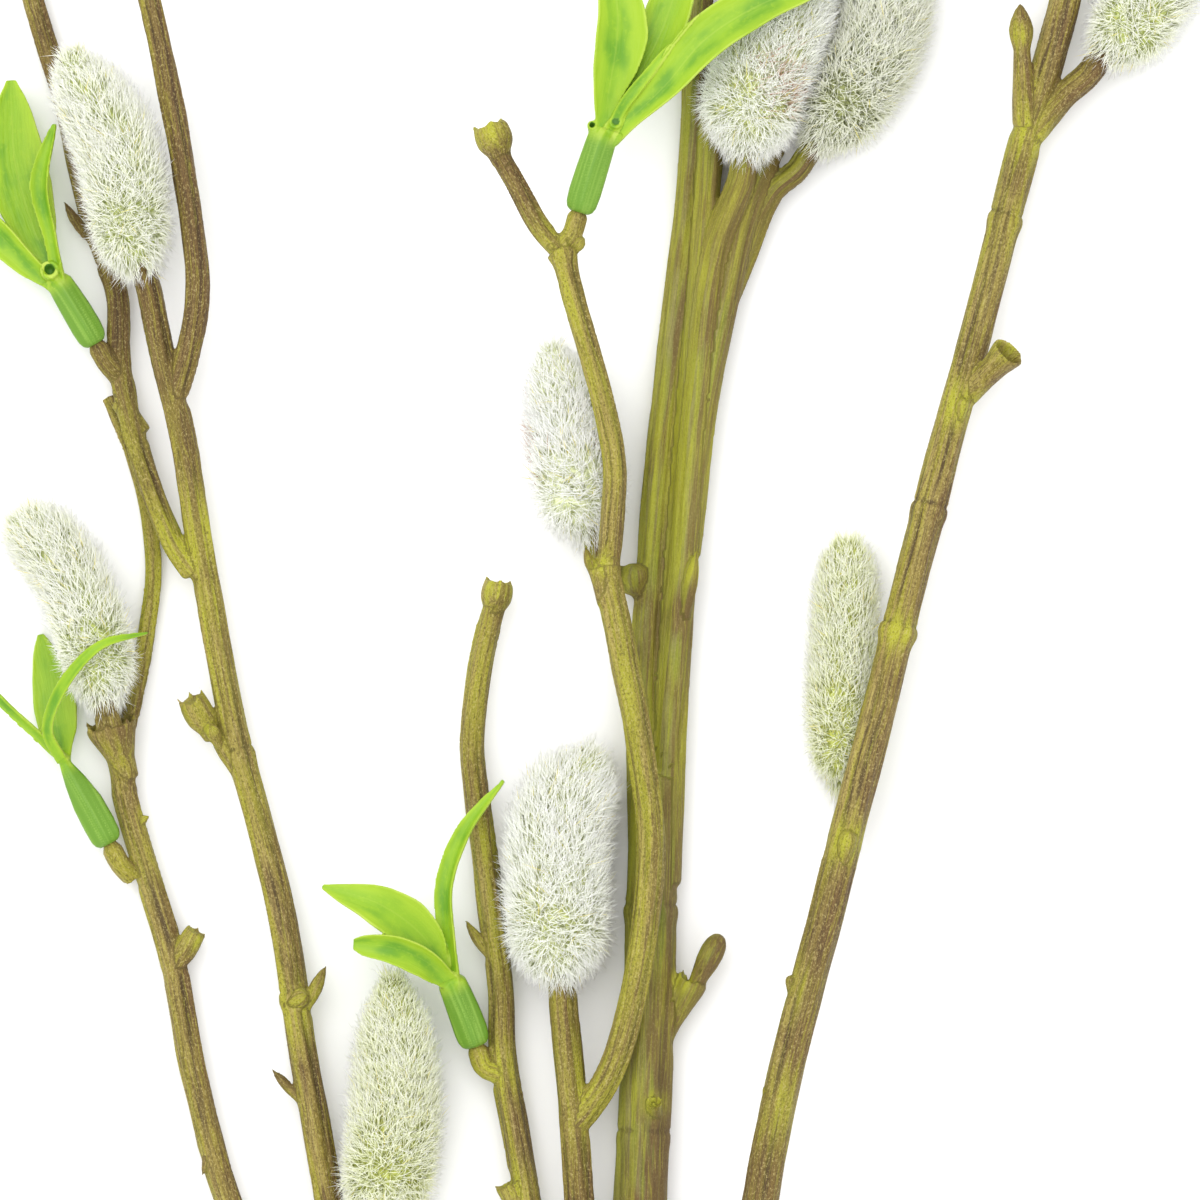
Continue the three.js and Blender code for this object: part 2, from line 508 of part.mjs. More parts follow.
function twigSolid(twig) {
  const solids = [
    ...twig.shoots.map(seatedShoot),
    ...(twig.stalks ?? []).map(seatedShoot),
    ...(twig.pegs ?? []).map(sprigPeg),
    ...(twig.rings ?? []).map(ringSolid),
    ...(twig.buds ?? []).map(budSolid),
    ...(twig.collars ?? []).map(collarSolid),
    ...(twig.sockets ?? []).map(socketSolid),
  ];
  if (twig.plug) solids.push(plugSolid(twig.plug, twig.shoots[0].line[0], twig.shoots[0].radii[0]));
  const cups = (twig.cups ?? []).map(cupSolid);
  let whole = joined([...solids, ...cups]);
  for (const name of twig.sockets ?? []) whole = whole.subtract(socketBore(name));
  return whole;
}

// ---------------------------------------------------------------- materials and the branch

const MATERIALS = {
  stem: new THREE.MeshStandardMaterial({ color: '#91824d', roughness: 0.62, metalness: 0 }),
  leader: new THREE.MeshStandardMaterial({ color: '#8c8a42', roughness: 0.62, metalness: 0 }),
  leaf: new THREE.MeshStandardMaterial({ color: '#9cc83c', roughness: 0.42, metalness: 0 }),
  fur: new THREE.MeshStandardMaterial({ color: '#dce1cd', roughness: 0.95, metalness: 0 }),
};

const branch = new THREE.Group();
branch.position.copy(SHIFT);

function addPiece(name, solid, material) {
  const mesh = new THREE.Mesh(geometryOf(solid), material);
  mesh.name = name;
  branch.add(mesh);
}

for (const [name, twig] of Object.entries(TWIGS)) {
  addPiece(name, twigSolid(twig), name === 'main_stem' ? MATERIALS.leader : MATERIALS.stem);
}
for (const name of Object.keys(CATKINS)) addPiece(name, catkinSolid(name), MATERIALS.fur);
for (const name of Object.keys(SPRIGS)) addPiece(name, sprigSolid(name), MATERIALS.leaf);

export default branch;
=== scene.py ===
"""An artificial willow branch that lies on a white floor, seen from straight above.

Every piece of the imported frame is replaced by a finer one: woody twigs, green leaf sprigs and furry
catkins. Their centre lines repeat the design, in millimetres, and SHIFT carries them into the frame.
"""

import math

import bpy
import numpy as np
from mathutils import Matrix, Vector


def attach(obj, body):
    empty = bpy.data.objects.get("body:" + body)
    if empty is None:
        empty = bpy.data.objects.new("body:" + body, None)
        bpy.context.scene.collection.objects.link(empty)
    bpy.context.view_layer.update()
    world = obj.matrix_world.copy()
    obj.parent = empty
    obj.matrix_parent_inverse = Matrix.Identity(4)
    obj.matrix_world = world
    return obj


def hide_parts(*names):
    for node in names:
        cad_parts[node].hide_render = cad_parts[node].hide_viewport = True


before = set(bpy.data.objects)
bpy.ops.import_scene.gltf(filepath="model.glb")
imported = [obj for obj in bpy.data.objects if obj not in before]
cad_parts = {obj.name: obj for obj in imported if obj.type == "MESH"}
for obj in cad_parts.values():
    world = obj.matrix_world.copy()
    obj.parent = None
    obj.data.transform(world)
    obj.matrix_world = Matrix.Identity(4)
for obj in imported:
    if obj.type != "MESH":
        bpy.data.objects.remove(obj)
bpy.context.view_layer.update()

# ------------------------------------------------------------------ driving dimensions

MM = 0.001
SHIFT = np.array([2.5, 52.9, 0.0])
UP = np.array([0.0, 0.0, 1.0])
FULL_TURN = 2 * math.pi
LOWEST = 0.06

CAMERA_HEIGHT = 1.6
PICTURE_WIDTH = 0.168
FOCUS_HEIGHT = 0.007
SENSOR_WIDTH = 36

PATH_STEP = 0.35
TANGENT_REACH = 0.4
TWIG_VOXEL = 0.3
TRUNK_VOXEL = 0.39
SPRIG_VOXEL = 0.19

# A shoot's shoulder stops short of what is pushed on its end, and its peg goes on inside.
SHOULDER_GAP = 0.5
SHOULDER_RUN = 2.5
SHOOT_PEG = 3
ARM_PEG = 3.5
PEG_RADIUS = 0.95
ARM_RADIUS = 1.45
SOCKET_DEPTH = 6
SOCKET_WALL = 1.1
SOCKET_SINK = 0.3

# The furry core is this share of the fur's reach, and covers these shares of the line.
CORE_SHARE = 0.66
CORE_ENDS = (0.05, 0.98)
CORE_SIDES = 28
HAIRS_PER_MM2 = 12.5
HAIR_RADIUS = 0.062
HAIR_LENGTHS = (3.6, 6.0)
TIP_TUFT = 3.2
BASE_TUFT = 4.2

# ------------------------------------------------------------------ catkins

# Each catkin: its line from base to tip, and how far its fur reaches to the left and to the right
# of that line at OUTLINE_SHARES of its length. Stains are (place, reach).
OUTLINE_SHARES = [0.04, 0.2, 0.4, 0.6, 0.8, 0.96]
CATKINS = {
    "catkin_left_top": dict(
        line=[[-63.7, 45.3, 9.9], [-65.5, 52, 10.4], [-67.6, 62, 10.8], [-73.8, 77, 10.4]],
        left=[6.4, 6.4, 6.4, 6.5, 6.2, 4.6], right=[5.4, 6.4, 7.2, 7.4, 5.4, 3]),
    "catkin_left_low": dict(
        line=[[-69.2, -15, 6.8], [-71, -7, 7.4], [-74, 1.6, 7.6], [-81.4, 12.4, 7]],
        left=[5.2, 5.6, 5.4, 5.2, 5.4, 5.2], right=[5, 6.2, 6.6, 6.8, 6.4, 5.2]),
    "catkin_lower_left": dict(
        fur="yellow", line=[[-30.8, -88.8, 6.8], [-28.9, -70, 7.2], [-29.2, -52.4, 7]],
        left=[6.4, 7.2, 7.1, 6.8, 5.2, 3.2], right=[6.4, 7.6, 7.8, 7.3, 5.8, 3.6]),
    "catkin_centre": dict(
        fur="pale", line=[[-5.3, -54, 8.2], [-5.9, -40, 8.6], [-4.6, -29, 8.6], [-0.6, -20.8, 8.6]],
        left=[6.8, 8.3, 8.6, 9.1, 7.6, 4], right=[6.4, 8.2, 8.2, 7.9, 7.6, 5.4]),
    "catkin_middle_back": dict(
        fur="bright", line=[[-0.8, 8.4, 6.4], [-2.7, 15, 6.8], [-4.6, 26, 6.9], [-7, 36, 6.8]],
        left=[5.6, 7.2, 7.6, 7, 5.2, 3.4], right=[3.4, 7, 7.2, 6.4, 4.8, 2.8],
        stains=[([-10, 23.6, 6], 2.6), ([-8.6, 19, 6], 2), ([-0.8, 21, 8], 2.2)]),
    "catkin_right_low": dict(
        fur="yellow", line=[[35.2, -28, 4.7], [33.9, -18, 4.5], [34.2, -6, 4.5], [34.7, 8.8, 4.5]],
        left=[4.6, 5.6, 5.6, 5.4, 5, 4.2], right=[4.4, 5.4, 5.4, 5.4, 5.2, 4.4]),
    # Painted light: this catkin takes the pale fur to brighten it where a leaf above shades it.
    "catkin_top_front": dict(
        fur="pale", line=[[20.3, 61.6, 8.3], [21.9, 70.4, 9], [24.6, 79, 9.4], [29.4, 94.6, 9.4]],
        left=[6.6, 8.9, 8.2, 8.2, 6.6, 3.6], right=[6.4, 7.6, 8.2, 8.4, 6.8, 3.8],
        stains=[([25.6, 75, 14], 3), ([27.4, 71, 12], 2.4)]),
    "catkin_top_back": dict(
        # Painted shade: this back catkin, which lies partly under the front one, takes the darker shaded
        # fur.
        fur="shaded", line=[[29.4, 62.8, 5.2], [34.2, 70, 5.6], [38.4, 78, 5.7], [43, 95, 5.5]],
        left=[4.8, 7.2, 7.8, 8, 6.6, 3.6], right=[5.2, 7.3, 8, 7.9, 6.2, 3.6]),
    "catkin_right_top": dict(
        line=[[70, 75.7, 5.9], [75.8, 83.4, 6], [80.4, 91.6, 6], [83.4, 101.4, 5.8]],
        left=[5.6, 6, 6.4, 6.4, 5.4, 3.4], right=[5.8, 7.2, 7.4, 7, 5.8, 3.4]),
    "catkin_left_tip": dict(
        line=[[-83.2, 111, 5], [-85.6, 125, 5.3], [-88.2, 141, 5.2]], left=[5, 5.9, 6.2, 5.9, 4.8, 3],
        right=[5, 5.9, 6.2, 5.9, 4.8, 3]),
    "catkin_leader_tip": dict(
        line=[[15.6, 127, 5.9], [14.6, 140, 6], [11.6, 157, 5.8]], left=[5.4, 6.4, 6.7, 6.4, 5.2, 3.2],
        right=[5.4, 6.4, 6.7, 6.4, 5.2, 3.2]),
    "catkin_right_tip": dict(
        line=[[71.2, 118.5, 6.4], [73.3, 133, 6.2], [74.6, 149, 6]], left=[5.4, 6.4, 6.8, 6.5, 5.2, 3.2],
        right=[5.4, 6.4, 6.8, 6.5, 5.2, 3.2]),
}

# ------------------------------------------------------------------ sprigs

LEAF_SHARES = [0, 0.1, 0.25, 0.45, 0.65, 0.85, 0.95, 1]
ROUND_LEAF = [0.8, 0.85, 1.9, 2.9, 3.0, 1.9, 1.1, 0.35]


def leaf_of(line, roll, curl, left, right=None):
    """A leaf: its centre line, its turn in degrees, how far it folds up, and how far the blade
    reaches to each side at LEAF_SHARES of its length. One list does for both sides."""
    return dict(line=line, roll=roll, curl=curl, left=left, right=right or left)


# Each sprig: its sleeve, the sleeve's radii at its base, middle and neck, the small curled ears at
# the neck as (place, radius), and its leaves.
SPRIGS = {
    "sprig_left_top": dict(
        sleeve=[[-70.6, 35.8, 5.2], [-73, 40, 5.7], [-76.2, 45.2, 6.2]], radii=[2.2, 2.3, 2],
        ears=[([-77, 46.3, 8.6], 1.35)],
        leaves=[
            leaf_of([[-75.4, 43.8, 6.4], [-76.6, 50.6, 7.4], [-78, 58, 8.2], [-76.2, 66.6, 8.8]], 24, 0.7,
                 [1.2, 1, 0.95, 1.2, 1.5, 1, 0.6, 0.2], [1.2, 1, 0.8, 1.1, 1.3, 0.8, 0.5, 0.2]),
            leaf_of([[-76.4, 45.4, 6], [-79.4, 52, 5], [-82, 61, 4.4], [-82.6, 72.9, 4.6]], -6, 0.14,
                 [0.8, 1.2, 3, 4.2, 4, 2.6, 1.4, 0.5], [0.8, 1.6, 3.4, 4.5, 4.3, 2.8, 1.5, 0.5]),
            leaf_of([[-75.6, 43.4, 6.4], [-80.4, 47.6, 6.8], [-85, 52.2, 6.6], [-91.6, 58.4, 5.4]], 16, 0.4,
                 [1, 1.1, 1.9, 2.4, 2.2, 1.5, 0.9, 0.3], [1, 1, 1.4, 1.9, 1.9, 1.2, 0.7, 0.3]),
        ]),
    "sprig_left_low": dict(
        sleeve=[[-68.7, -34.3, 4.8], [-71.6, -28.8, 5], [-75.2, -22.6, 4.8]], radii=[2.35, 2.35, 1.1],
        ears=[([-76.4, -20.6, 6.6], 0.8)],
        leaves=[
            leaf_of([[-74.6, -22.6, 4.8], [-79, -18.6, 4.6], [-83.2, -14.8, 4.2], [-89, -8.6, 3.4]], 30,
                 0.6, [0.8, 0.8, 0.75, 0.7, 0.7, 0.6, 0.4, 0.2]),
            leaf_of([[-75, -22.8, 4.6], [-76.2, -18, 2.6], [-77, -12, 1.4], [-78.6, -4.8, 1.2]], 0, 0.06,
                 [0.8, 1.2, 2.5, 3, 2.7, 1.8, 1, 0.3], [0.8, 1.4, 2.8, 3.2, 2.6, 1.7, 1, 0.3]),
            leaf_of([[-75.4, -22.4, 5.2], [-77.2, -18.6, 8], [-76.2, -14.4, 11.2], [-73.2, -9.6, 13.2],
                 [-69.4, -6.2, 13.8], [-63.2, -4.6, 10.4]], 10, 0.4,
                 [0.8, 0.8, 0.8, 0.85, 0.75, 0.5, 0.3, 0.12]),
        ]),
    "sprig_lower": dict(
        sleeve=[[-17.3, -62.6, 5.6], [-19, -57.8, 6.2], [-21, -52.9, 7.4]], radii=[2.45, 2.5, 2.2],
        leaves=[
            leaf_of([[-20.4, -54, 7.6], [-21.2, -48, 8.4], [-21.4, -40, 9], [-19, -32.6, 9.4],
                 [-13.4, -25.2, 9.8]], 26, 0.5, [1.5, 1.4, 1.3, 1.5, 1.3, 0.8, 0.4, 0.15],
                 [1.2, 1.4, 1.4, 1.1, 1.3, 0.8, 0.4, 0.15]),
            leaf_of([[-21.4, -53, 7.6], [-25, -46.8, 10.2], [-31, -42.4, 11.8], [-38.8, -40, 11.4]], -14,
                 0.24, [0.9, 1.3, 2.7, 3.7, 3.3, 1.9, 0.9, 0.2],
                 [0.9, 1.2, 2.5, 3.3, 2.6, 1.3, 0.7, 0.2]),
            leaf_of([[-20.8, -53.4, 8], [-24.6, -50.2, 11.4], [-29, -48.4, 13], [-34.4, -47.8, 12.6]], 10,
                 0.5, [1.2, 1.5, 2.1, 2.4, 2.2, 1.8, 1.4, 0.7],
                 [1.2, 1.3, 1.6, 1.9, 1.9, 1.5, 1.1, 0.5]),
        ]),
    "sprig_centre_top": dict(
        sleeve=[[-3, 53.9, 13.5], [-1.3, 59.4, 13.8], [0.7, 65.6, 14.4]], radii=[2.35, 2.45, 2.25],
        ears=[([2.2, 66.6, 16.6], 0.95), ([-1.1, 66.2, 15.8], 0.7)],
        leaves=[
            leaf_of([[0.5, 64.4, 14.6], [0.9, 69, 15.4], [2.2, 77, 16.8], [2.4, 81.4, 17.4],
                 [1.8, 86.4, 17.6]], -8, 0.3, [1.3, 1.3, 2, 2.9, 3.1, 2.7, 2.4, 1.6],
                 [1.2, 1.1, 1.8, 3.4, 4.3, 3.6, 2.4, 1.2]),
            leaf_of([[1.4, 65, 14.2], [5.2, 72.4, 15], [8.8, 79.6, 15.2], [12.4, 91, 15]], 14, 0.3,
                 [0.8, 1, 2, 3, 3.2, 2.6, 2, 1.2], [0.8, 1, 2, 3, 3.4, 2.8, 2, 1.2]),
            leaf_of([[1.6, 64.2, 14.6], [4.2, 66.8, 16], [9.2, 71.6, 17.4], [14.6, 77.8, 18.2],
                 [22.6, 82.8, 18.2], [33.2, 86.4, 17.6]], 14, 0.3,
                 [1.3, 1.3, 2.1, 3.2, 3.3, 2.2, 1.3, 0.4], [1.3, 1.3, 2, 3.1, 3.1, 2.2, 1.3, 0.4]),
            leaf_of([[1.4, 65.4, 15.2], [3.4, 69.2, 16.8], [6.4, 73, 17.6], [9.8, 77.2, 18]], 0, 0.3,
                 [0.6, 0.6, 0.7, 0.7, 0.6, 0.5, 0.4, 0.2], [0.6, 0.7, 0.9, 1, 0.8, 0.5, 0.4, 0.2]),
        ]),
    "sprig_left_tip": dict(
        sleeve=[[-70.5, 117.6, 8.4], [-71.8, 123, 8.7], [-73.6, 129, 9]], radii=[2.2, 2.3, 1.9],
        leaves=[
            leaf_of([[-73.4, 128.4, 9], [-78.4, 138, 12], [-82.4, 148, 12.4]], -16, 0.3, ROUND_LEAF),
            leaf_of([[-73.5, 128.6, 9], [-74.6, 140, 10.4], [-73, 153, 9.6]], 8, 0.35, ROUND_LEAF),
            leaf_of([[-73.4, 128.4, 9], [-68, 136.5, 9.4], [-62.4, 145, 7.4]], 20, 0.4, ROUND_LEAF),
        ]),
    "sprig_leader_tip": dict(
        sleeve=[[19.6, 108.2, 6.8], [21.2, 112.2, 7.3], [23.6, 116.6, 7.8]], radii=[2.2, 2.3, 1.9],
        leaves=[
            leaf_of([[23.2, 116, 7.7], [31, 121, 8], [39.5, 123.4, 5.4]], 14, 0.3, ROUND_LEAF),
            leaf_of([[23.3, 116.2, 7.7], [26.6, 127, 9.4], [27.4, 140, 8.4]], -8, 0.35, ROUND_LEAF),
            leaf_of([[23.3, 116.2, 7.7], [23, 122, 10], [23.2, 129, 11.4]], -24, 0.4,
                 [0.8, 0.9, 1.2, 1.6, 1.6, 1.2, 0.8, 0.3]),
        ]),
}

# ------------------------------------------------------------------ twigs

# Buds, as (share of the length, share of the radius): pointed, blunt, and one on a long neck.
BUD_OUTLINE = [
    (0, 0.62), (0.12, 0.7), (0.3, 0.92), (0.48, 1.0), (0.64, 0.9), (0.8, 0.62), (0.92, 0.32), (1, 0.1),
]
BLUNT_BUD = [
    (0, 0.62), (0.12, 0.68), (0.3, 0.8), (0.5, 0.96), (0.7, 1.0), (0.85, 0.88), (0.95, 0.6), (1, 0.25),
]
TULIP_BUD = [
    (0, 1.0), (0.2, 0.95), (0.4, 0.8), (0.62, 0.68), (0.65, 0.76), (0.72, 0.95), (0.79, 1.02),
    (0.86, 0.85), (0.94, 0.5), (1, 0.14),
]

# Cups, as (share of the length, share of the radius, share of the teeth): a round knob, a flared
# funnel, a shallow ledge, and an open tube.
KNOB = [
    (0, 0.55, 0), (0.22, 0.62, 0), (0.34, 0.8, 0), (0.48, 0.96, 0), (0.66, 1.0, 0), (0.84, 0.96, 0.1),
    (0.96, 0.86, 1), (0.98, 0.76, 0.9), (0.93, 0.62, 0), (0.92, 0.4, 0), (0.95, 0.12, 0),
]
FUNNEL = [
    (0, 0.5, 0), (0.35, 0.56, 0), (0.6, 0.76, 0), (0.84, 0.98, 0), (0.97, 1.02, 1), (0.99, 0.92, 0.9),
    (0.92, 0.78, 0), (0.8, 0.6, 0), (0.7, 0.4, 0), (0.68, 0.12, 0),
]
LEDGE = [
    (0, 0.82, 0), (0.5, 0.88, 0), (0.85, 0.98, 0.2), (1, 1.0, 1), (0.98, 0.84, 0.6), (0.9, 0.7, 0),
    (0.86, 0.2, 0),
]
OPEN_TUBE = [
    (0, 0.7, 0), (0.4, 0.72, 0), (0.7, 0.82, 0), (0.88, 0.98, 0), (0.97, 1.05, 0), (1.0, 1.0, 0),
    (0.98, 0.88, 0), (0.9, 0.78, 0), (0.7, 0.6, 0), (0.6, 0.12, 0),
]

# Where a twig is plugged into another: the socket's root, its mouth and the radius of the twig there.
SOCKETS = {
    "left_twig": ([-1.6, -203, 4.3], [-8.6, -187, 5], 2.2),
    "left_outer_twig": ([-30.2, -127, 4.6], [-36.4, -114.6, 4.4], 1.8),
    "centre_twig": ([3.4, -155, 4.6], [-0.4, -137, 7.2], 2.1),
    "inner_left_twig": ([-1.4, -116, 7], [-5.6, -104.4, 6.2], 1.8),
    "right_stem": ([2.2, -175, 4.4], [9, -154.4, 6.8], 2.5),
}

# Each twig has shoots (line, radii at both ends, what is seated on the end), arms (root, sprig), the
# twigs that plug into it, ring nodes (place, swell), buds (root, tip, radius, outline), cups (root,
# mouth, radius, teeth, tooth height, outline), and fresh and brown spots (place, reach, strength).
TWIGS = {
    "main_stem": dict(
        arms=[([15.5, 103, 4.4], "sprig_leader_tip")], sockets=["left_twig", "centre_twig", "right_stem"],
        rings=[([7.4, -43.7, 4], 0.3), ([4.6, -75.4, 7], 0.12)],
        shoots=[
            ([[-9.5, -262, 4.8], [-6, -231, 4.65], [0, -190, 4.5], [4, -147, 4.3], [5.2, -110, 4.15],
             [5.9, -80, 4], [7, -52, 3.85], [7.7, -24, 3.8]], [4.6, 3.5], None),
            ([[6.2, -40, 3.7], [5.9, -18.5, 3.5], [7.3, 6.6, 3], [9.2, 28, 2.6], [12.1, 52, 2.4],
             [14.1, 84, 3], [15.6, 105, 4.4]], [2.2, 1.7], "catkin_leader_tip"),
            ([[9.2, -40, 4], [9.9, -18.5, 4.3], [11.8, 6.6, 4.9], [13.6, 28, 5.4], [16.3, 49, 6.6]],
             [2.3, 1.9], "catkin_top_front"),
            ([[9.6, -14, 4], [11, 6, 4.2], [12.7, 28, 4.6], [14.2, 45, 5], [15, 55.6, 5.4],
             [16, 68, 4.2]], [1.6, 1.8], None),
            ([[12.4, 6, 4.6], [14.6, 26, 5], [17.6, 42, 5.4], [19.8, 53, 5.6], [21.6, 58.4, 5],
             [24.4, 64.4, 3.6]], [1.7, 2.1], None),
            ([[13.6, 29, 5.2], [17.2, 40.4, 4.2], [20.2, 48.3, 3.7], [24, 57, 3.9]], [1.8, 1.6],
             "catkin_top_back"),
            ([[7.4, 1.6, 3.2], [3.6, 2.6, 4]], [1.7, 1.4], "catkin_middle_back")],
        buds=[
            ([11.9, -2.4, 6.2], [13.6, 7.4, 8], 1.05, BUD_OUTLINE),
            ([13, -54.6, 4.8], [17, -46.9, 5.2], 1.75, BLUNT_BUD),
            ([4.9, 1.2, 4.4], [4.6, 5, 6], 1.75, BLUNT_BUD)],
        cups=[
            ([8.8, -62.4, 4], [13.2, -53.2, 4.8], 2.1, 1, 0.8, FUNNEL),
            ([7.9, -72.4, 6], [7.5, -70, 9.4], 1.2, 0, 0.6, OPEN_TUBE)],
        fresh=[([6.8, -56, 6], 9, 0.3), ([5, -20, 5], 16, 0.5), ([8, 20, 5], 18, 0.5),
            ([7.6, -70.4, 8.8], 1.7, 1), ([4.4, -68, 6], 3, 0.4), ([13.2, 4.6, 8], 2.6, 1),
            ([11.4, -53.4, 6], 2, 0.9), ([10.4, 52, 4], 12, 0.5), ([14.6, 46, 7], 4, 0.5),
            ([3.4, 2.4, 6.4], 1.6, 0.8)],
        brown=[([13, -52, 4], 3, 0.8), ([17, -47, 4.4], 4, 0.8), ([19, 50, 4], 9, 0.8),
            ([20, 54, 6], 7, 0.9), ([11.6, -2.6, 6], 2.6, 0.9), ([5.4, 0.4, 5], 2, 0.9),
            ([9.6, -74, 6], 3, 1), ([10.6, -60, 5], 7, 0.8), ([9.6, -88, 6], 8, 0.9)]),
    "right_stem": dict(
        rings=[([45.9, 12.3, 7.8], 0.25), ([56.8, 53, 5.3], 0.3), ([41.6, -4.5, 9.4], 0.45)],
        shoots=[
            ([[12.4, -138, 8.2], [18.4, -108, 9.4], [25.2, -69, 10.6], [32.1, -42.3, 11.3],
             [35.6, -28, 11.4], [39.1, -14.8, 10.5], [42.6, -0.6, 9], [48.2, 20.9, 7], [55.6, 48.3, 5.4],
             [59.2, 62.6, 5.2], [65.2, 84, 5.6], [69, 103, 6.2]], [2.6, 2.1], "catkin_right_tip"),
            ([[60.4, 65, 5.3], [65, 70.6, 5.8]], [1.9, 1.7], "catkin_right_top"),
            ([[33.8, -35.6, 10.8], [33.8, -33, 7.4], [34.6, -30.6, 5.4]], [1.7, 1.5], "catkin_right_low")],
        buds=[
            ([59.5, 66.6, 6], [58.8, 83.4, 8], 1.75, TULIP_BUD),
            ([50.4, 25.4, 8.4], [50.9, 28.2, 9.6], 0.85, BLUNT_BUD),
            ([34, -36.2, 13.2], [34.8, -32.2, 14.4], 1.3, BLUNT_BUD),
            ([26.6, -54.8, 11], [26.6, -52.4, 12], 0.8, BLUNT_BUD),
            ([23.8, -70.4, 10.6], [23.2, -67.8, 11.4], 0.8, BLUNT_BUD)],
        cups=[
            ([51.4, 28.6, 6.4], [57.2, 34.8, 11], 2.35, 0, 0.6, OPEN_TUBE)],
        fresh=[([34.6, -33.6, 14], 3, 1), ([50.6, 27, 10], 3, 1), ([41.6, -4.5, 11.8], 2.4, 1),
            ([57.8, 35.6, 12], 2.5, 1), ([59.2, 65, 7], 5, 0.8), ([58.6, 79, 8], 2, 0.7),
            ([56.8, 52, 7], 6, 0.4), ([26, -54, 12], 4, 0.6), ([23, -70, 12], 6, 0.6)],
        brown=[([59, 82, 8], 2, 0.6), ([18, -96, 10], 26, 1), ([24, -76, 10], 14, 0.9),
            ([29.4, -46, 11], 12, 0.5), ([60, 82, 7], 3, 0.5), ([68, 78, 6], 5, 0.9),
            ([60.6, 60, 6], 4, 0.8),
            ([63.6, 70, 5], 4, 0.8)]),
    "centre_twig": dict(
        arms=[([-5.2, 49.4, 13.7], "sprig_centre_top")], rings=[([-5, 48.6, 13.8], 0.5)],
        shoots=[
            ([[-1.4, -118, 7], [-2.9, -84, 7.2], [-4.4, -65, 7.8]], [2.15, 2], "catkin_centre"),
            ([[-3.6, -73.5, 7.5], [-1.6, -71, 7.9], [1.6, -65.6, 9.4], [4.3, -56.6, 10.6],
             [6.6, -42.3, 11.2], [7.1, -33, 11.2], [5.9, -22, 11.2], [3.2, -7.7, 11.6], [1, 3.6, 12.6],
             [0.9, 5.6, 13]], [1.95, 1.95], None),
            ([[1, 3.4, 12.6], [1.7, 11, 14.2], [2, 19, 15], [0.3, 28, 15.4], [-3.5, 41.2, 14.4],
             [-5.6, 49.6, 13.8]], [1.65, 1.6], None),
            ([[-5.4, 48.4, 13.8], [-8.4, 52, 13.8], [-11.4, 57.4, 13.6], [-13.8, 61.6, 13.6]],
             [1.45, 1.45], None)],
        buds=[
            ([-1.1, 3.6, 13], [-2.1, 7.5, 13.6], 0.75, BUD_OUTLINE),
            ([-3.4, 48.6, 14], [-2.2, 50.6, 14.4], 0.8, BUD_OUTLINE),
            ([-6.4, 49, 14.4], [-7.2, 50, 15], 0.8, BUD_OUTLINE)],
        cups=[
            ([-13.6, 61, 13.6], [-15.5, 66.4, 13.6], 2.65, 3, 0.6, KNOB),
            ([0.8, -0.6, 12.6], [-0.3, 4.7, 13.6], 1.45, 4, 0.6, LEDGE)],
        fresh=[([-15.4, 65.6, 14], 2.6, 1), ([-0.6, 5, 15], 2, 1), ([-3, -68, 9], 8, 0.6),
            ([-5, 50, 14], 5, 0.7), ([5, -50, 12], 14, 0.35), ([1, 26, 16], 12, 0.4),
            ([-4, 42, 16], 8, 0.6),
            ([3, -10, 13], 14, 0.5), ([6, -30, 13], 16, 0.5)],
        brown=[([-1.6, 7.2, 13.4], 1.6, 1), ([-3, -84, 7], 16, 0.7), ([-14, 61.6, 14], 2.6, 0.9),
            ([-5, -62, 9], 8, 0.6), ([-11.4, 57, 13], 4, 0.5)]),
    "inner_left_twig": dict(
        arms=[([-14.4, -66.4, 4.7], "sprig_lower")],
        shoots=[
            ([[-8.4, -94, 5.3], [-11.4, -77, 4.6], [-13.6, -63.7, 4.4], [-13.8, -55, 4.4],
             [-15.4, -42, 4.4], [-17.2, -28, 4.4], [-17.9, -20, 4.5], [-16.7, -9, 4.7], [-14.7, -0.4, 5]],
             [1.85, 1.6], None)],
        buds=[
            ([-15.6, -50, 4.8], [-18.9, -44.8, 5.4], 0.8, BUD_OUTLINE)],
        cups=[
            ([-15.1, -2.6, 5], [-14.1, 2.7, 5.1], 2.25, 3, 0.6, KNOB),
            ([-11.4, -85.6, 5], [-13, -81.8, 5.6], 1.8, 3, 0.6, LEDGE)],
        fresh=[([-14.4, 2, 7], 3.2, 0.9), ([-15, -66, 6], 4, 0.9), ([-12.6, -82.5, 6], 3.5, 0.8),
            ([-15, -45, 6], 10, 0.5), ([-17, -12, 6], 12, 0.4), ([-15, -34, 6], 4, 0.7)],
        brown=[([-18.4, -45.4, 5], 2, 1), ([-17.6, -26, 5], 10, 0.3), ([-14, -60, 5], 12, 0.2),
            ([-14.2, -1, 6], 1.6, 0.7)]),
    "left_twig": dict(
        arms=[([-67.7, 31.6, 3.9], "sprig_left_top")], sockets=["left_outer_twig"],
        rings=[([-42.4, -56, 4.5], 0.35), ([-51.2, -22, 5.2], 0.15), ([-69.4, 46, 3], 0.2)],
        shoots=[
            ([[-16.4, -165, 5], [-24.2, -145, 4.8], [-30, -124, 4.6], [-38.1, -84, 4.4],
             [-42.2, -60.2, 4.5], [-45.1, -42.3, 4.7], [-52.1, -14.8, 5.2], [-56.1, 8, 5.8],
             [-58.6, 23, 7], [-61.2, 34, 8.3]], [2.2, 1.75], "catkin_left_top"),
            ([[-57, 3.6, 5.6], [-59.9, 8, 5.4], [-64.7, 20.9, 4.6], [-67.5, 33, 3.6], [-67.9, 43, 2.5],
             [-71.6, 53.6, 1.75], [-75.3, 69.7, 1.7], [-79.5, 84, 2.3], [-82, 98, 3.6]], [1.65, 1.4],
             "catkin_left_tip"),
            ([[-59.4, 28.6, 7.6], [-57.8, 34, 9.2], [-56.4, 42, 10.6], [-57, 52, 11], [-61.5, 76.9, 9.8],
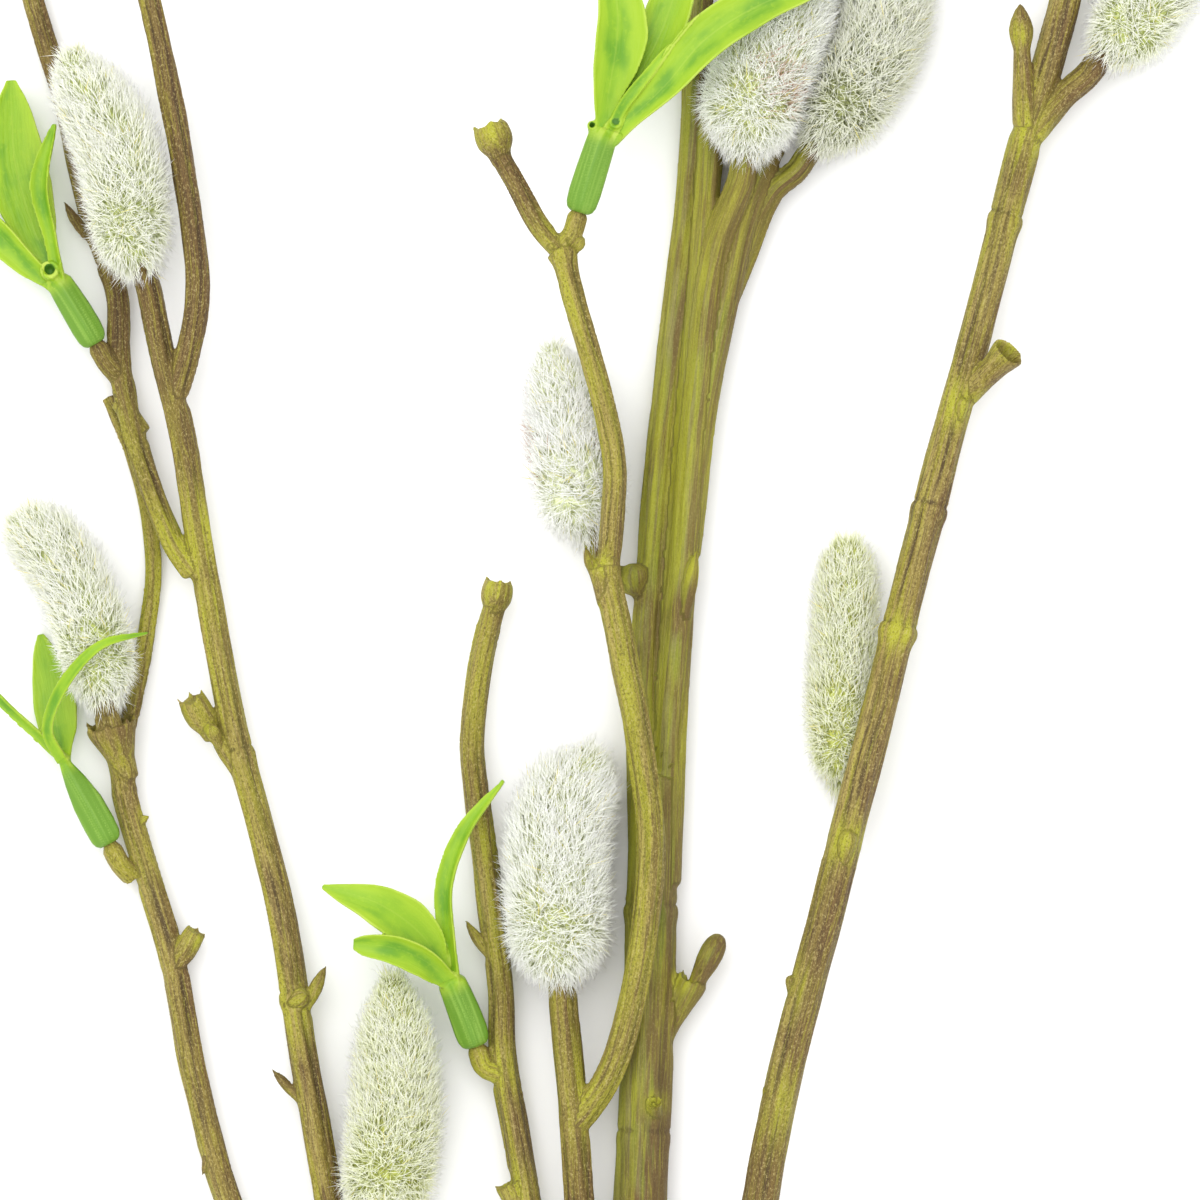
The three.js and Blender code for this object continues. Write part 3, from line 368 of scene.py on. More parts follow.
             [-66, 97, 8.6]], [1.7, 1.45], "sprig_left_tip"),
            ([[-34, -105, 4.6], [-32.8, -98.6, 5.6]], [1.6, 1.5], "catkin_lower_left")],
        buds=[
            ([-41.2, -57.4, 5], [-38.4, -51.2, 6], 1, BUD_OUTLINE),
            ([-42.2, -70.2, 4.8], [-46.1, -65.6, 5.2], 0.75, BUD_OUTLINE),
            ([-72.2, 50.8, 2.6], [-75.3, 56, 3.4], 0.75, BUD_OUTLINE),
            ([-33.6, -106, 5], [-36.6, -100, 6], 0.9, BUD_OUTLINE),
            ([-43.4, -56.6, 5.6], [-41, -55.2, 6.6], 1.3, BLUNT_BUD),
            ([-50.8, -24.6, 5.2], [-53.9, -18.4, 5.8], 1.25, BLUNT_BUD),
            ([-53.4, -20.4, 6.4], [-54.6, -17.6, 8.6], 1.05, BLUNT_BUD)],
        cups=[
            ([-54.3, -19.4, 5.4], [-57.3, -13.8, 7.4], 2.15, 5, 1.2, KNOB),
            ([-64, 23.4, 4.6], [-67.4, 28, 3.8], 1.5, 0, 0.6, LEDGE)],
        fresh=[([-57.6, 8, 8], 7, 1), ([-55.6, -1, 7.6], 6, 0.9), ([-57.6, -13, 8.4], 1.6, 0.8),
            ([-42, -57, 6], 5, 0.6), ([-53, -12, 7], 14, 0.45), ([-66, 24, 5], 8, 0.35),
            ([-50, -26, 7], 10, 0.35), ([-60.6, 9.6, 6.8], 3, 0.8), ([-54.5, -18, 9], 1.4, 1)],
        brown=[([-68, 40, 3], 22, 0.9), ([-57, 55, 10], 40, 0.9), ([-60, 30, 7], 16, 0.8),
            ([-38.8, -52, 5.4], 3, 0.8), ([-45.6, -66, 5], 3, 0.8), ([-75, 55.6, 3], 3, 1)]),
    "left_outer_twig": dict(
        arms=[([-65.7, -38.8, 3.2], "sprig_left_low")],
        shoots=[
            ([[-43.4, -103, 4], [-52.2, -84, 3.2], [-56.8, -67, 2.8], [-60.2, -49.4, 2.7],
             [-63.6, -38, 2.8], [-66.4, -28, 3], [-67.8, -19.6, 4]], [1.85, 1.75], "catkin_left_low"),
            ([[-67.2, -22, 3.2], [-65.4, -13.4, 2.4], [-63.6, -4.2, 1.6], [-62.7, 5, 1.35],
             [-64, 14.6, 1.35], [-66.8, 23.6, 1.5], [-69, 28.6, 1.8]], [1.25, 0.9], None)],
        buds=[
            ([-64.8, -31.4, 3.6], [-63.2, -30.2, 4.2], 0.6, BUD_OUTLINE),
            ([-54.6, -75.4, 3.2], [-55.8, -81, 4.4], 0.6, BUD_OUTLINE)],
        cups=[
            ([-60, -52.6, 3], [-56.6, -46.2, 4.6], 1.65, 5, 0.6, KNOB),
            ([-66.4, -25, 3.4], [-68.6, -17.2, 5.4], 3.5, 7, 1, FUNNEL)],
        fresh=[([-57.2, -47.4, 6], 1.8, 0.9), ([-64, -36, 4], 5, 0.5), ([-63, 0, 3], 14, 0.6),
            ([-63.4, -30.4, 4], 1.6, 1), ([-67, -22, 6], 3, 0.4)],
        brown=[([-68.6, -16, 6], 4, 0.9), ([-59, -60, 3], 12, 0.2), ([-57, -50, 4], 2, 0.6)]),
}

# ------------------------------------------------------------------ lines and closed forms


def unit(vectors):
    return vectors / np.maximum(np.linalg.norm(vectors, axis=-1, keepdims=True), 1e-9)


def smooth_line(points):
    """Evenly spaced points along a centripetal Catmull-Rom curve through these points."""
    knots = np.array(points, float)
    knots = np.vstack([2 * knots[0] - knots[1], knots, 2 * knots[-1] - knots[-2]])
    dense = []
    for a, b, c, d in zip(knots, knots[1:], knots[2:], knots[3:]):
        tb = np.linalg.norm(b - a) ** 0.5
        tc = tb + np.linalg.norm(c - b) ** 0.5
        td = tc + np.linalg.norm(d - c) ** 0.5
        t = np.linspace(tb, tc, 40, endpoint=False)[:, None]
        ab = (tb - t) / tb * a + t / tb * b
        bc = (tc - t) / (tc - tb) * b + (t - tb) / (tc - tb) * c
        cd = (td - t) / (td - tc) * c + (t - tc) / (td - tc) * d
        abc = (tc - t) / tc * ab + t / tc * bc
        bcd = (td - t) / (td - tb) * bc + (t - tb) / (td - tb) * cd
        dense.append((tc - t) / (tc - tb) * abc + (t - tb) / (tc - tb) * bcd)
    dense = np.vstack(dense + [knots[-2]])
    walked = np.concatenate([[0], np.cumsum(np.linalg.norm(np.diff(dense, axis=0), axis=1))])
    count = max(4, round(walked[-1] / PATH_STEP))
    stops = np.linspace(0, walked[-1], count + 1)
    return np.stack([np.interp(stops, walked, dense[:, k]) for k in range(3)], 1)


class Path:
    """A smooth line, measured in millimetres from its start."""

    def __init__(self, points):
        self.points = smooth_line(points)
        steps = np.linalg.norm(np.diff(self.points, axis=0), axis=1)
        self.walked = np.concatenate([[0], np.cumsum(steps)])
        self.length = self.walked[-1]

    def at(self, distances):
        return np.stack([np.interp(distances, self.walked, self.points[:, k]) for k in range(3)], 1)

    def frames(self, distances):
        """Centres, and unit vectors along, up and to the side, at these distances."""
        distances = np.asarray(distances, float)
        ahead = self.at(np.minimum(distances + TANGENT_REACH, self.length))
        behind = self.at(np.maximum(distances - TANGENT_REACH, 0))
        along = unit(ahead - behind)
        up = unit(UP - (along @ UP)[:, None] * along)
        return self.at(distances), along, up, np.cross(up, along)


def closed_rings(rings):
    """A closed surface through rings of points, with a pole in the middle of each end ring."""
    count, sides = rings.shape[:2]
    points = np.vstack([rings.reshape(-1, 3), rings[0].mean(0)[None], rings[-1].mean(0)[None]])
    ring, side = np.meshgrid(np.arange(count - 1), np.arange(sides), indexing="ij")
    after = (side + 1) % sides
    a, b = ring * sides + side, ring * sides + after
    c, d = a + sides, b + sides
    walls = np.vstack([np.stack([a, b, d], -1).reshape(-1, 3), np.stack([a, d, c], -1).reshape(-1, 3)])
    k = np.arange(sides)
    j = (k + 1) % sides
    low, high = count * sides, count * sides + 1
    last = (count - 1) * sides
    start = np.stack([np.full(sides, low), j, k], 1)
    end = np.stack([np.full(sides, high), last + k, last + j], 1)
    return points, np.vstack([walls, start, end])


def lofted(path, distances, radii, sides=20, shape=None):
    """A closed round body along a path. shape may scale and shift each ring by its angle."""
    distances, radii = np.asarray(distances, float), np.asarray(radii, float)
    centres, along, up, aside = path.frames(np.clip(distances, 0, path.length))
    angles = np.arange(sides) * FULL_TURN / sides
    spokes = np.cos(angles)[None, :, None] * aside[:, None] + np.sin(angles)[None, :, None] * up[:, None]
    spread = np.broadcast_to(radii[:, None], (len(radii), sides))
    lift = np.zeros_like(spread)
    if shape:
        grow, lift = shape(angles)
        spread, lift = spread * grow, np.broadcast_to(lift, spread.shape)
    return closed_rings(centres[:, None] + spread[:, :, None] * spokes + lift[:, :, None] * along[:, None])


def merged(solids):
    """Several closed forms as one list of points and one of triangles."""
    points, triangles, count = [], [], 0
    for solid_points, solid_triangles in solids:
        points.append(solid_points)
        triangles.append(solid_triangles + count)
        count += len(solid_points)
    return np.vstack(points), np.vstack(triangles)


# ------------------------------------------------------------------ meshes


def mesh_of(name, points, faces):
    """A mesh in metres and in the frame, from points in design millimetres."""
    mesh = bpy.data.meshes.new(name)
    placed = (points + SHIFT) * MM
    mesh.vertices.add(len(points))
    mesh.vertices.foreach_set("co", placed.astype(np.float32).ravel())
    mesh.loops.add(faces.size)
    mesh.loops.foreach_set("vertex_index", faces.astype(np.int32).ravel())
    mesh.polygons.add(len(faces))
    mesh.polygons.foreach_set("loop_start", np.arange(0, faces.size, faces.shape[1], dtype=np.int32))
    mesh.update(calc_edges=True)
    mesh.validate()
    mesh.shade_smooth()
    return mesh


def store(mesh, **values_by_name):
    """Keeps one number, or one vector, for each point of the mesh."""
    for name, values in values_by_name.items():
        kind, key = ("FLOAT", "value") if values.ndim == 1 else ("FLOAT_VECTOR", "vector")
        attribute = mesh.attributes.new(name, kind, "POINT")
        attribute.data.foreach_set(key, values.astype(np.float32).ravel())


def corner_points(mesh):
    """The index of the point at each corner of each face."""
    corners = np.empty(len(mesh.loops), np.int32)
    mesh.loops.foreach_get("vertex_index", corners)
    return corners


def fused(solids, voxel, smoothing):
    """One smooth watertight skin round overlapping closed forms, as points and square faces."""
    points, triangles = merged(solids)
    mesh = bpy.data.meshes.new("fusing")
    mesh.from_pydata(points.tolist(), [], triangles.tolist())
    thing = bpy.data.objects.new("fusing", mesh)
    bpy.context.scene.collection.objects.link(thing)
    remesh = thing.modifiers.new("skin", "REMESH")
    remesh.mode = "VOXEL"
    remesh.voxel_size = voxel
    smooth = thing.modifiers.new("smooth", "SMOOTH")
    smooth.factor = 0.5
    smooth.iterations = smoothing
    depsgraph = bpy.context.evaluated_depsgraph_get()
    skin = bpy.data.meshes.new_from_object(thing.evaluated_get(depsgraph))
    skin_points = np.empty(len(skin.vertices) * 3, np.float32)
    skin.vertices.foreach_get("co", skin_points)
    corners = corner_points(skin)
    bpy.data.objects.remove(thing)
    bpy.data.meshes.remove(mesh)
    bpy.data.meshes.remove(skin)
    return skin_points.reshape(-1, 3).astype(float), corners.reshape(-1, 4)


def nearest(points, samples):
    """The index of the sample nearest to each point."""
    found = np.empty(len(points), int)
    squares = (samples**2).sum(1)
    batch = 20000
    for start in range(0, len(points), batch):
        some = points[start:start + batch]
        found[start:start + batch] = (squares - 2 * some @ samples.T).argmin(1)
    return found


def place_piece(name, mesh, material, node):
    """Puts a finished mesh in the scene in place of a CAD node."""
    piece = bpy.data.objects.new(name, mesh)
    bpy.context.scene.collection.objects.link(piece)
    mesh.materials.append(material)
    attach(piece, "root")
    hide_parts(node)
    return piece


# ------------------------------------------------------------------ material graph


class Graph:
    """A node material that is built by calls, each of which returns an output socket."""

    def __init__(self, name):
        self.material = bpy.data.materials.new(name)
        self.material.use_nodes = True
        self.tree = self.material.node_tree
        self.shader = self.tree.nodes["Principled BSDF"]

    def node(self, kind, **settings):
        node = self.tree.nodes.new("ShaderNode" + kind)
        for name, value in settings.items():
            setattr(node, name, value)
        return node

    def feed(self, socket, value):
        if isinstance(value, bpy.types.NodeSocket):
            self.tree.links.new(value, socket)
        else:
            socket.default_value = value

    def attribute(self, name, output="Fac"):
        return self.node("Attribute", attribute_name=name).outputs[output]

    def noise(self, vector, scale, detail, roughness):
        """Clouds over a vector that is scaled first, each way by its own amount."""
        scaled = self.node("VectorMath", operation="MULTIPLY")
        self.feed(scaled.inputs[0], vector)
        self.feed(scaled.inputs[1], scale)
        noise = self.node("TexNoise")
        self.feed(noise.inputs["Vector"], scaled.outputs[0])
        noise.inputs["Scale"].default_value = 1
        noise.inputs["Detail"].default_value = detail
        noise.inputs["Roughness"].default_value = roughness
        return noise.outputs["Fac"]

    def step(self, value, low, high):
        """0 where the value is at low, 1 where it is at high, and smooth between them."""
        node = self.node("MapRange", interpolation_type="SMOOTHSTEP")
        self.feed(node.inputs["Value"], value)
        node.inputs["From Min"].default_value = low
        node.inputs["From Max"].default_value = high
        return node.outputs["Result"]

    def spread(self, value, low, high):
        """The value's range from 0 to 1, stretched to run from low to high."""
        node = self.node("MapRange")
        self.feed(node.inputs["Value"], value)
        node.inputs["To Min"].default_value = low
        node.inputs["To Max"].default_value = high
        return node.outputs["Result"]

    def math(self, operation, first, second=0.0, clamp=False):
        node = self.node("Math", operation=operation, use_clamp=clamp)
        self.feed(node.inputs[0], first)
        self.feed(node.inputs[1], second)
        return node.outputs[0]

    def times(self, first, second):
        return self.math("MULTIPLY", first, second, clamp=True)

    def plus(self, first, second):
        return self.math("ADD", first, second, clamp=True)

    def band(self, value, middle, reach):
        """1 where the value is at the middle of a narrow band, falling to 0 at its edges."""
        return self.step(self.math("ABSOLUTE", self.math("SUBTRACT", value, middle)), reach, 0)

    def mix(self, share, first, second):
        node = self.node("Mix", data_type="RGBA")
        self.feed(node.inputs[0], share)
        for socket, colour in ((node.inputs[6], first), (node.inputs[7], second)):
            self.feed(socket, colour if isinstance(colour, bpy.types.NodeSocket) else (*colour, 1))
        return node.outputs[2]

    def layered(self, colour, layers):
        """A colour with others laid over it, as (share, colour)."""
        for share, over in layers:
            colour = self.mix(share, colour, over)
        return colour

    def bump(self, height, distance):
        node = self.node("Bump")
        node.inputs["Distance"].default_value = distance
        self.feed(node.inputs["Height"], height)
        self.feed(self.shader.inputs["Normal"], node.outputs["Normal"])

    def finish(self, colour, roughness, specular):
        self.feed(self.shader.inputs["Base Color"], colour)
        self.feed(self.shader.inputs["Roughness"], roughness)
        self.shader.inputs["Specular IOR Level"].default_value = specular
        return self.material


# ------------------------------------------------------------------ bark

OLIVE = (0.205, 0.152, 0.027)
STRAW = (0.325, 0.255, 0.07)
BROWN = (0.115, 0.062, 0.02)
DARK = (0.045, 0.024, 0.01)
FRESH = (0.35, 0.345, 0.026)
PALE = (0.42, 0.35, 0.135)
LEADER_GREEN = (0.145, 0.17, 0.02)
LEADER_GREY = (0.235, 0.215, 0.07)

# Each pattern of the bark: its scales round and along the twig per millimetre, detail, roughness.
LONG_STREAKS = ((1.1, 1.1, 0.045), 3, 0.6)
FINE_STREAKS = ((4.2, 4.2, 0.25), 2, 0.6)
LINES = ((1.7, 1.7, 0.06), 2, 0.55)
FLECKS = ((4, 4, 2.6), 3, 0.75)
PATCHES = ((0.35, 0.35, 0.09), 2, 0.5)
BARK_BUMP = 0.00022


def twig_material(name, ground, streak, side_light_and_shade, groove_darkness, speckle):
    """Moulded bark: long streaks, dark grooves, fresh and brown patches and fine flecks, with painted light
    on each twig's left side and painted shade on its right.
    """
    graph = Graph(name)
    grain = graph.attribute("grain", "Vector")
    side, ridge = graph.attribute("side"), graph.attribute("ridge")
    fresh, brown = graph.attribute("fresh"), graph.attribute("brown")
    long_streaks = graph.noise(grain, *LONG_STREAKS)
    fine_streaks = graph.noise(grain, *FINE_STREAKS)
    lines = graph.noise(grain, *LINES)
    flecks = graph.noise(grain, *FLECKS)
    patches = graph.noise(grain, *PATCHES)
    # Painted light and shade: the side term lowers this on each twig's left side and raises it on the
    # right.
    shaded = graph.math("SUBTRACT", long_streaks, graph.math("MULTIPLY", side, side_light_and_shade))

    brown_and_side_shade = graph.plus(brown, graph.times(graph.step(fine_streaks, 0.45, 0.7), 0.35))
    # Painted shade: the right side of each twig, where this is high, is turned brown.
    brown_and_side_shade = graph.plus(brown_and_side_shade, graph.times(graph.step(shaded, 0.5, 0.72), 0.75))
    brown_and_side_shade = graph.plus(brown_and_side_shade, graph.times(graph.step(patches, 0.52, 0.66), 0.5))
    green = graph.times(fresh, graph.step(long_streaks, 0.6, 0.4))
    colour = graph.layered(graph.mix(graph.step(long_streaks, 0.38, 0.62), ground, streak), [
        (graph.times(brown_and_side_shade, 0.88), BROWN),
        # Painted light: the left side of each twig, where this is low, is turned fresh yellow-green, except
        # on brown spots.
        (graph.times(graph.step(shaded, 0.42, 0.26), graph.spread(brown, 0.45, 0.05)), FRESH),
        (graph.times(graph.step(ridge, 0.42, 0.08), groove_darkness), DARK),
        (graph.times(graph.band(lines, 0.46, 0.05), groove_darkness * 0.7), DARK),
        (graph.times(graph.band(lines, 0.56, 0.04), 0.35), FRESH),
        (graph.plus(green, graph.times(fresh, 0.35)), FRESH),
        (graph.times(graph.step(flecks, 0.52, 0.64), speckle), DARK),
        (graph.times(graph.step(flecks, 0.45, 0.36), speckle), PALE),
    ])
    graph.bump(graph.plus(graph.times(fine_streaks, 0.6), graph.times(flecks, 0.4)), BARK_BUMP)
    return graph.finish(colour, graph.spread(fine_streaks, 0.5, 0.75), 0.28)


# ------------------------------------------------------------------ leaf plastic

LEAF_DEEP = (0.11, 0.275, 0.01)
LEAF_GREEN = (0.215, 0.385, 0.012)
LEAF_LIGHT = (0.30, 0.455, 0.018)
LEAF_EDGE = (0.41, 0.53, 0.07)
SLEEVE_GREEN = (0.118, 0.252, 0.02)
SLEEVE_LIGHT = (0.195, 0.345, 0.045)
# Painted shade for the hollow inside the curled ears.
HOLE_SHADE = (0.05, 0.15, 0.01)

# The leaves' patterns: scales across, through and along the blade per millimetre, detail, roughness.
LEAF_CLOUDS = ((0.28, 0.28, 0.12), 2, 0.5)
LEAF_VEINS = ((2.4, 2.4, 0.3), 2, 0.5)
LEAF_SPOTS = ((1.6, 1.6, 1.3), 2, 0.6)
LEAF_BUMP = 0.00008


def leaf_material():
    """Soft plastic leaf, with pale edges and midrib, darker sleeves and painted shade in the ears' holes.
    """
    graph = Graph("leaf_plastic")
    blade = graph.attribute("blade", "Vector")
    across, sleeve = graph.attribute("across"), graph.attribute("sleeve")
    clouds = graph.noise(blade, *LEAF_CLOUDS)
    veins = graph.noise(blade, *LEAF_VEINS)
    spots = graph.noise(blade, *LEAF_SPOTS)
    toward_edge = graph.plus(across, graph.times(graph.step(clouds, 0.4, 0.7), 0.3))
    colour = graph.layered(graph.mix(graph.step(clouds, 0.33, 0.55), LEAF_DEEP, LEAF_GREEN), [
        (graph.times(graph.step(toward_edge, 0.3, 1.0), 0.85), LEAF_LIGHT),
        (graph.times(graph.step(spots, 0.5, 0.75), 0.35), LEAF_LIGHT),
        (graph.times(graph.step(across, 0.84, 1.0), graph.step(clouds, 0.3, 0.62)), LEAF_EDGE),
        (graph.times(graph.step(across, 0.06, 0.01), 0.18), LEAF_EDGE),
        (graph.step(sleeve, 0, 1), graph.mix(graph.step(veins, 0.4, 0.72), SLEEVE_GREEN, SLEEVE_LIGHT)),
        # Painted shade: the hollow of each ear is painted dark green.
        (graph.step(sleeve, 1.2, HOLE_MARK), HOLE_SHADE),
    ])
    graph.bump(veins, LEAF_BUMP)
    return graph.finish(colour, graph.spread(clouds, 0.36, 0.5), 0.3)


# ------------------------------------------------------------------ fur

# Each kind of fur: its material's name, and a hair's colour at its root, in its middle and at its tip.
WHITE_TIP = (0.985, 0.985, 0.965)
FURS = {
    "plain": ("catkin_fur", (0.55, 0.61, 0.20), (0.92, 0.94, 0.75), WHITE_TIP),
    # The shaded kind is a darker copy of the plain fur, painted as shade.
    "shaded": ("shaded_fur", (0.34, 0.37, 0.15), (0.80, 0.82, 0.62), (0.96, 0.96, 0.90)),
    "pale": ("pale_fur", (0.67, 0.71, 0.30), (0.955, 0.975, 0.86), WHITE_TIP),
    "bright": ("bright_fur", (0.80, 0.84, 0.52), (0.98, 0.99, 0.93), WHITE_TIP),
    "yellow": ("yellow_fur", (0.56, 0.60, 0.15), (0.87, 0.90, 0.58), (0.97, 0.975, 0.91)),
}
FUR_YELLOW = (0.85, 0.76, 0.22)
FUR_BROWN = (0.62, 0.40, 0.30)

# A hair's tone says which kind it is: below the first a plain hair, and then the odd ones.
PLAIN_TONES = 0.8
YELLOW_TONE = 0.88
BROWN_TONE = 0.97


def fur_material(name, root, middle, tip):
    """Hair that is yellow-green at its root and white at its tip, with a few odd strands."""
    graph = Graph(name)
    tone, along = graph.attribute("tone"), graph.attribute("along")
    colour = graph.layered(graph.mix(graph.step(along, 0.0, 0.45), root, middle), [
        (graph.step(along, 0.35, 0.9), tip),
        (graph.times(graph.step(tone, 0.3, 0.0), 0.35), middle),
        (graph.step(tone, YELLOW_TONE - 0.04, YELLOW_TONE - 0.02), FUR_YELLOW),
        (graph.step(tone, BROWN_TONE - 0.05, BROWN_TONE - 0.03), FUR_BROWN),
    ])
    return graph.finish(colour, 0.75, 0.25)


# ------------------------------------------------------------------ twigs

SHOOT_STEP = 0.7
TOOTH_TURN = 0.4
TOOTH_SHARPNESS = 24
TOOTH_FLARE = 0.1

# The bark's ridges, as (how many go round, their wavelength along the twig, their height).
BARK_WAVES = [(3, 55, 0.1), (5, 34, 0.09), (7, 26, 0.08), (10, 19, 0.06), (15, 12, 0.035)]

# Buds, cups and arms carry this share of the ridges, which fade out where two forms meet.
SMALL_RIDGES = 0.25
MEETING_WIDTH = 0.9
THINNEST_GRAIN = 1.2

# Each form has its own part of the bark's ridges and of its grain, this far along from the last.
RIDGE_SHIFT = 90
GRAIN_SHIFT = 60

# A ring node: how far its swell reaches, and where its seam lies, its half width and its depth.
RING_REACH = 1.3
SEAM_PLACE = 1.2
SEAM_WIDTH = 0.3
SEAM_DEPTH = 0.2
SEAM_SHADE = 0.45


def seated(line, name, reach):
    """A shoot's line, run on into what is seated on it."""
    seat = CATKINS[name]["line"] if name in CATKINS else SPRIGS[name]["sleeve"]
    centres, along, _, _ = Path(seat).frames([0])
    stops = (-SHOULDER_GAP - SHOULDER_RUN, -SHOULDER_GAP, reach)
    return [*line, *(centres[0] + along[0] * stop for stop in stops)]


def shoot_form(path, radii):
    """A tapered shoot, a little rounded at both ends."""
    stops = np.concatenate([[0], np.arange(0.5, path.length - 0.5, SHOOT_STEP), [path.length]])
    widths = radii[0] + (radii[1] - radii[0]) * stops / path.length
    widths[0] *= 0.8
    widths[-1] *= 0.75
    return lofted(path, stops, widths)


def bud_form(root, tip, radius, outline):
    """A closed bud that stands on a twig."""
    path = Path([root, tip])
    shares, widths = np.array(outline).T
    return lofted(path, shares * path.length, widths * radius, 16)


def cup_form(root, mouth, radius, teeth, tooth, outline):
    """A cup or knob with a rim, a hollow, and small pointed teeth round the rim."""
    root, mouth = np.array(root, float), np.array(mouth, float)
    path = Path([root, mouth, mouth + (mouth - root) * 0.05])
    shares, widths, lifts = np.array(outline).T

    def crown(angles):
        peaks = np.cos(teeth * (angles + TOOTH_TURN) / 2) ** TOOTH_SHARPNESS if teeth else 0 * angles
        raised = lifts[:, None] * peaks
        return 1 + TOOTH_FLARE * raised, raised * tooth

    return lofted(path, shares * np.linalg.norm(mouth - root), widths * radius, 60, crown)


def arm_form(root, sprig):
    """A short arm that ends in the peg inside a sprig's sleeve."""
    path = Path(seated([root], sprig, ARM_PEG))
    stops = np.linspace(0, path.length, 12)
    inside = stops > path.length - ARM_PEG - 0.1
    return lofted(path, stops, np.where(inside, PEG_RADIUS, ARM_RADIUS))


def socket_form(name):
    """A flared receptacle with a bore that the next twig's plug sits in."""
    root, mouth, radius = SOCKETS[name]
    path = Path([root, mouth])
    far = path.length
    bore = radius - SOCKET_SINK
    outer = radius + SOCKET_WALL - SOCKET_SINK
    stops = [0, far * 0.5, far * 0.9, far, far, far - 2, far - SOCKET_DEPTH]
    widths = [outer * 0.75, outer * 0.88, outer, outer * 0.96, bore, bore, bore * 0.9]
    return lofted(path, stops, widths, 32)


def plug_form(name, first_point, radius_there):
    """The plug in its socket, and the stretch from there to the twig's first point."""
    root, mouth, radius = SOCKETS[name]
    root, mouth = np.array(root, float), np.array(mouth, float)
    out = unit(mouth - root)
    stops = (0.5 - SOCKET_DEPTH, 0.5, 2)
    path = Path([*(mouth + out * stop for stop in stops), first_point])
    distances = np.array([0, 5.9, 6.1, *np.linspace(6.6, path.length, 20)])
    neck = radius - 0.6
    widths = np.interp(distances, [0, 6, 6.05, path.length], [neck, neck, radius, radius_there])
    return lofted(path, distances, widths)


def twig_forms(name, twig):
    """Every closed form of a twig, and its paths as (path, shares along it, radii there)."""
    forms, paths = [], []
    for line, radii, seat in twig["shoots"]:
        path = Path(seated(line, seat, SHOOT_PEG) if seat else line)
        forms.append(shoot_form(path, radii))
        paths.append((path, [0, 1], radii))
    if name in SOCKETS:
        line, radii, _ = twig["shoots"][0]
        forms.append(plug_form(name, line[0], radii[0]))
        paths.append((Path([SOCKETS[name][1], line[0]]), [0, 1], [radii[0], radii[0]]))
    for root, sprig in twig.get("arms", []):
        forms.append(arm_form(root, sprig))
        paths.append((Path(seated([root], sprig, 1)), [0, 1], [ARM_RADIUS, ARM_RADIUS]))
    for root, tip, radius, outline in twig["buds"]:
        forms.append(bud_form(root, tip, radius, outline))
        shares, widths = np.array(outline).T
        paths.append((Path([root, tip]), shares, widths * radius))
    for root, mouth, radius, *rim in twig["cups"]:
        forms.append(cup_form(root, mouth, radius, *rim))
        paths.append((Path([root, mouth]), [0, 0.3, 0.6, 1], np.array([0.6, 0.7, 1, 0.95]) * radius))
    forms += [socket_form(socket) for socket in twig.get("sockets", [])]
    return forms, paths


class Surface:
    """For each point of a twig's skin: which path it belongs to, and where it is on that path."""

    def __init__(self, points, paths):
        count = len(points)
        self.gap = np.full(count, 1e9)
        self.second = np.full(count, 1e9)
        self.owner = np.zeros(count, int)
        self.walked, self.angle, self.girth = np.zeros(count), np.zeros(count), np.zeros(count)
        self.outward = np.zeros((count, 3))
        for number, (path, shares, radii) in enumerate(paths):
            centre, along, up, aside = path.frames(path.walked)
            sample = nearest(points, centre)
            offset = points - centre[sample]
            radius = np.interp(path.walked[sample] / path.length, shares, radii)
            gap = np.abs(np.linalg.norm(offset, axis=1) - radius)
            closer = gap < self.gap
            self.second = np.where(closer, self.gap, np.minimum(self.second, gap))
            self.gap = np.where(closer, gap, self.gap)
            self.owner[closer] = number
            past = (offset * along[sample]).sum(1)
            upward = (offset * up[sample]).sum(1)
            sideward = (offset * aside[sample]).sum(1)
            self.walked[closer] = (path.walked[sample] + past)[closer]
            self.angle[closer] = np.arctan2(upward, sideward)[closer]
            self.girth[closer] = np.maximum(radius, THINNEST_GRAIN)[closer]
            out = unit(upward[:, None] * up[sample] + sideward[:, None] * aside[sample])
            self.outward[closer] = out[closer]


def bark_relief(angle, walked, rng):
    """How far the bark stands out, in millimetres, in ridges that run along the twig."""
    relief = np.zeros(len(angle))
    for lobes, wave, amount in BARK_WAVES:
        start, turn, beat = rng.uniform(0, FULL_TURN, 3)
        drift = 0.9 * np.sin(FULL_TURN * walked / wave + start)
        swell = 1 + 0.4 * np.sin(FULL_TURN * walked / (wave * 1.7) + beat)
        relief += amount * swell * np.cos(lobes * angle + turn + drift)
    return relief


def ring_marks(points, on, main, rings):
    """The swell of the ring nodes, in millimetres, and how close each point is to a ring's seam."""
    swelling, seams = np.zeros(len(points)), np.zeros(len(points))
    for place, swell in rings:
        away = np.linalg.norm(points - np.array(place, float), axis=1)
        spot = (away + 50 * (~main)).argmin()
        gap = np.where((on.owner == on.owner[spot]) & (away < 8), on.walked - on.walked[spot], 99)
        swelling += swell * np.exp(-((gap / RING_REACH) ** 2))
        seams += np.exp(-(((gap - SEAM_PLACE) / SEAM_WIDTH) ** 2))
    return swelling, seams


def near_spots(points, spots):
    """How strongly each point is marked by tall spots of (place, reach, strength)."""
    marked = np.zeros(len(points))
    for place, reach, strength in spots:
        offset = points - np.array(place, float)
        away = np.hypot(np.hypot(offset[:, 0], offset[:, 1]), 0.35 * offset[:, 2])
        marked = np.maximum(marked, strength * np.exp(-((away / reach) ** 2)))
    return marked


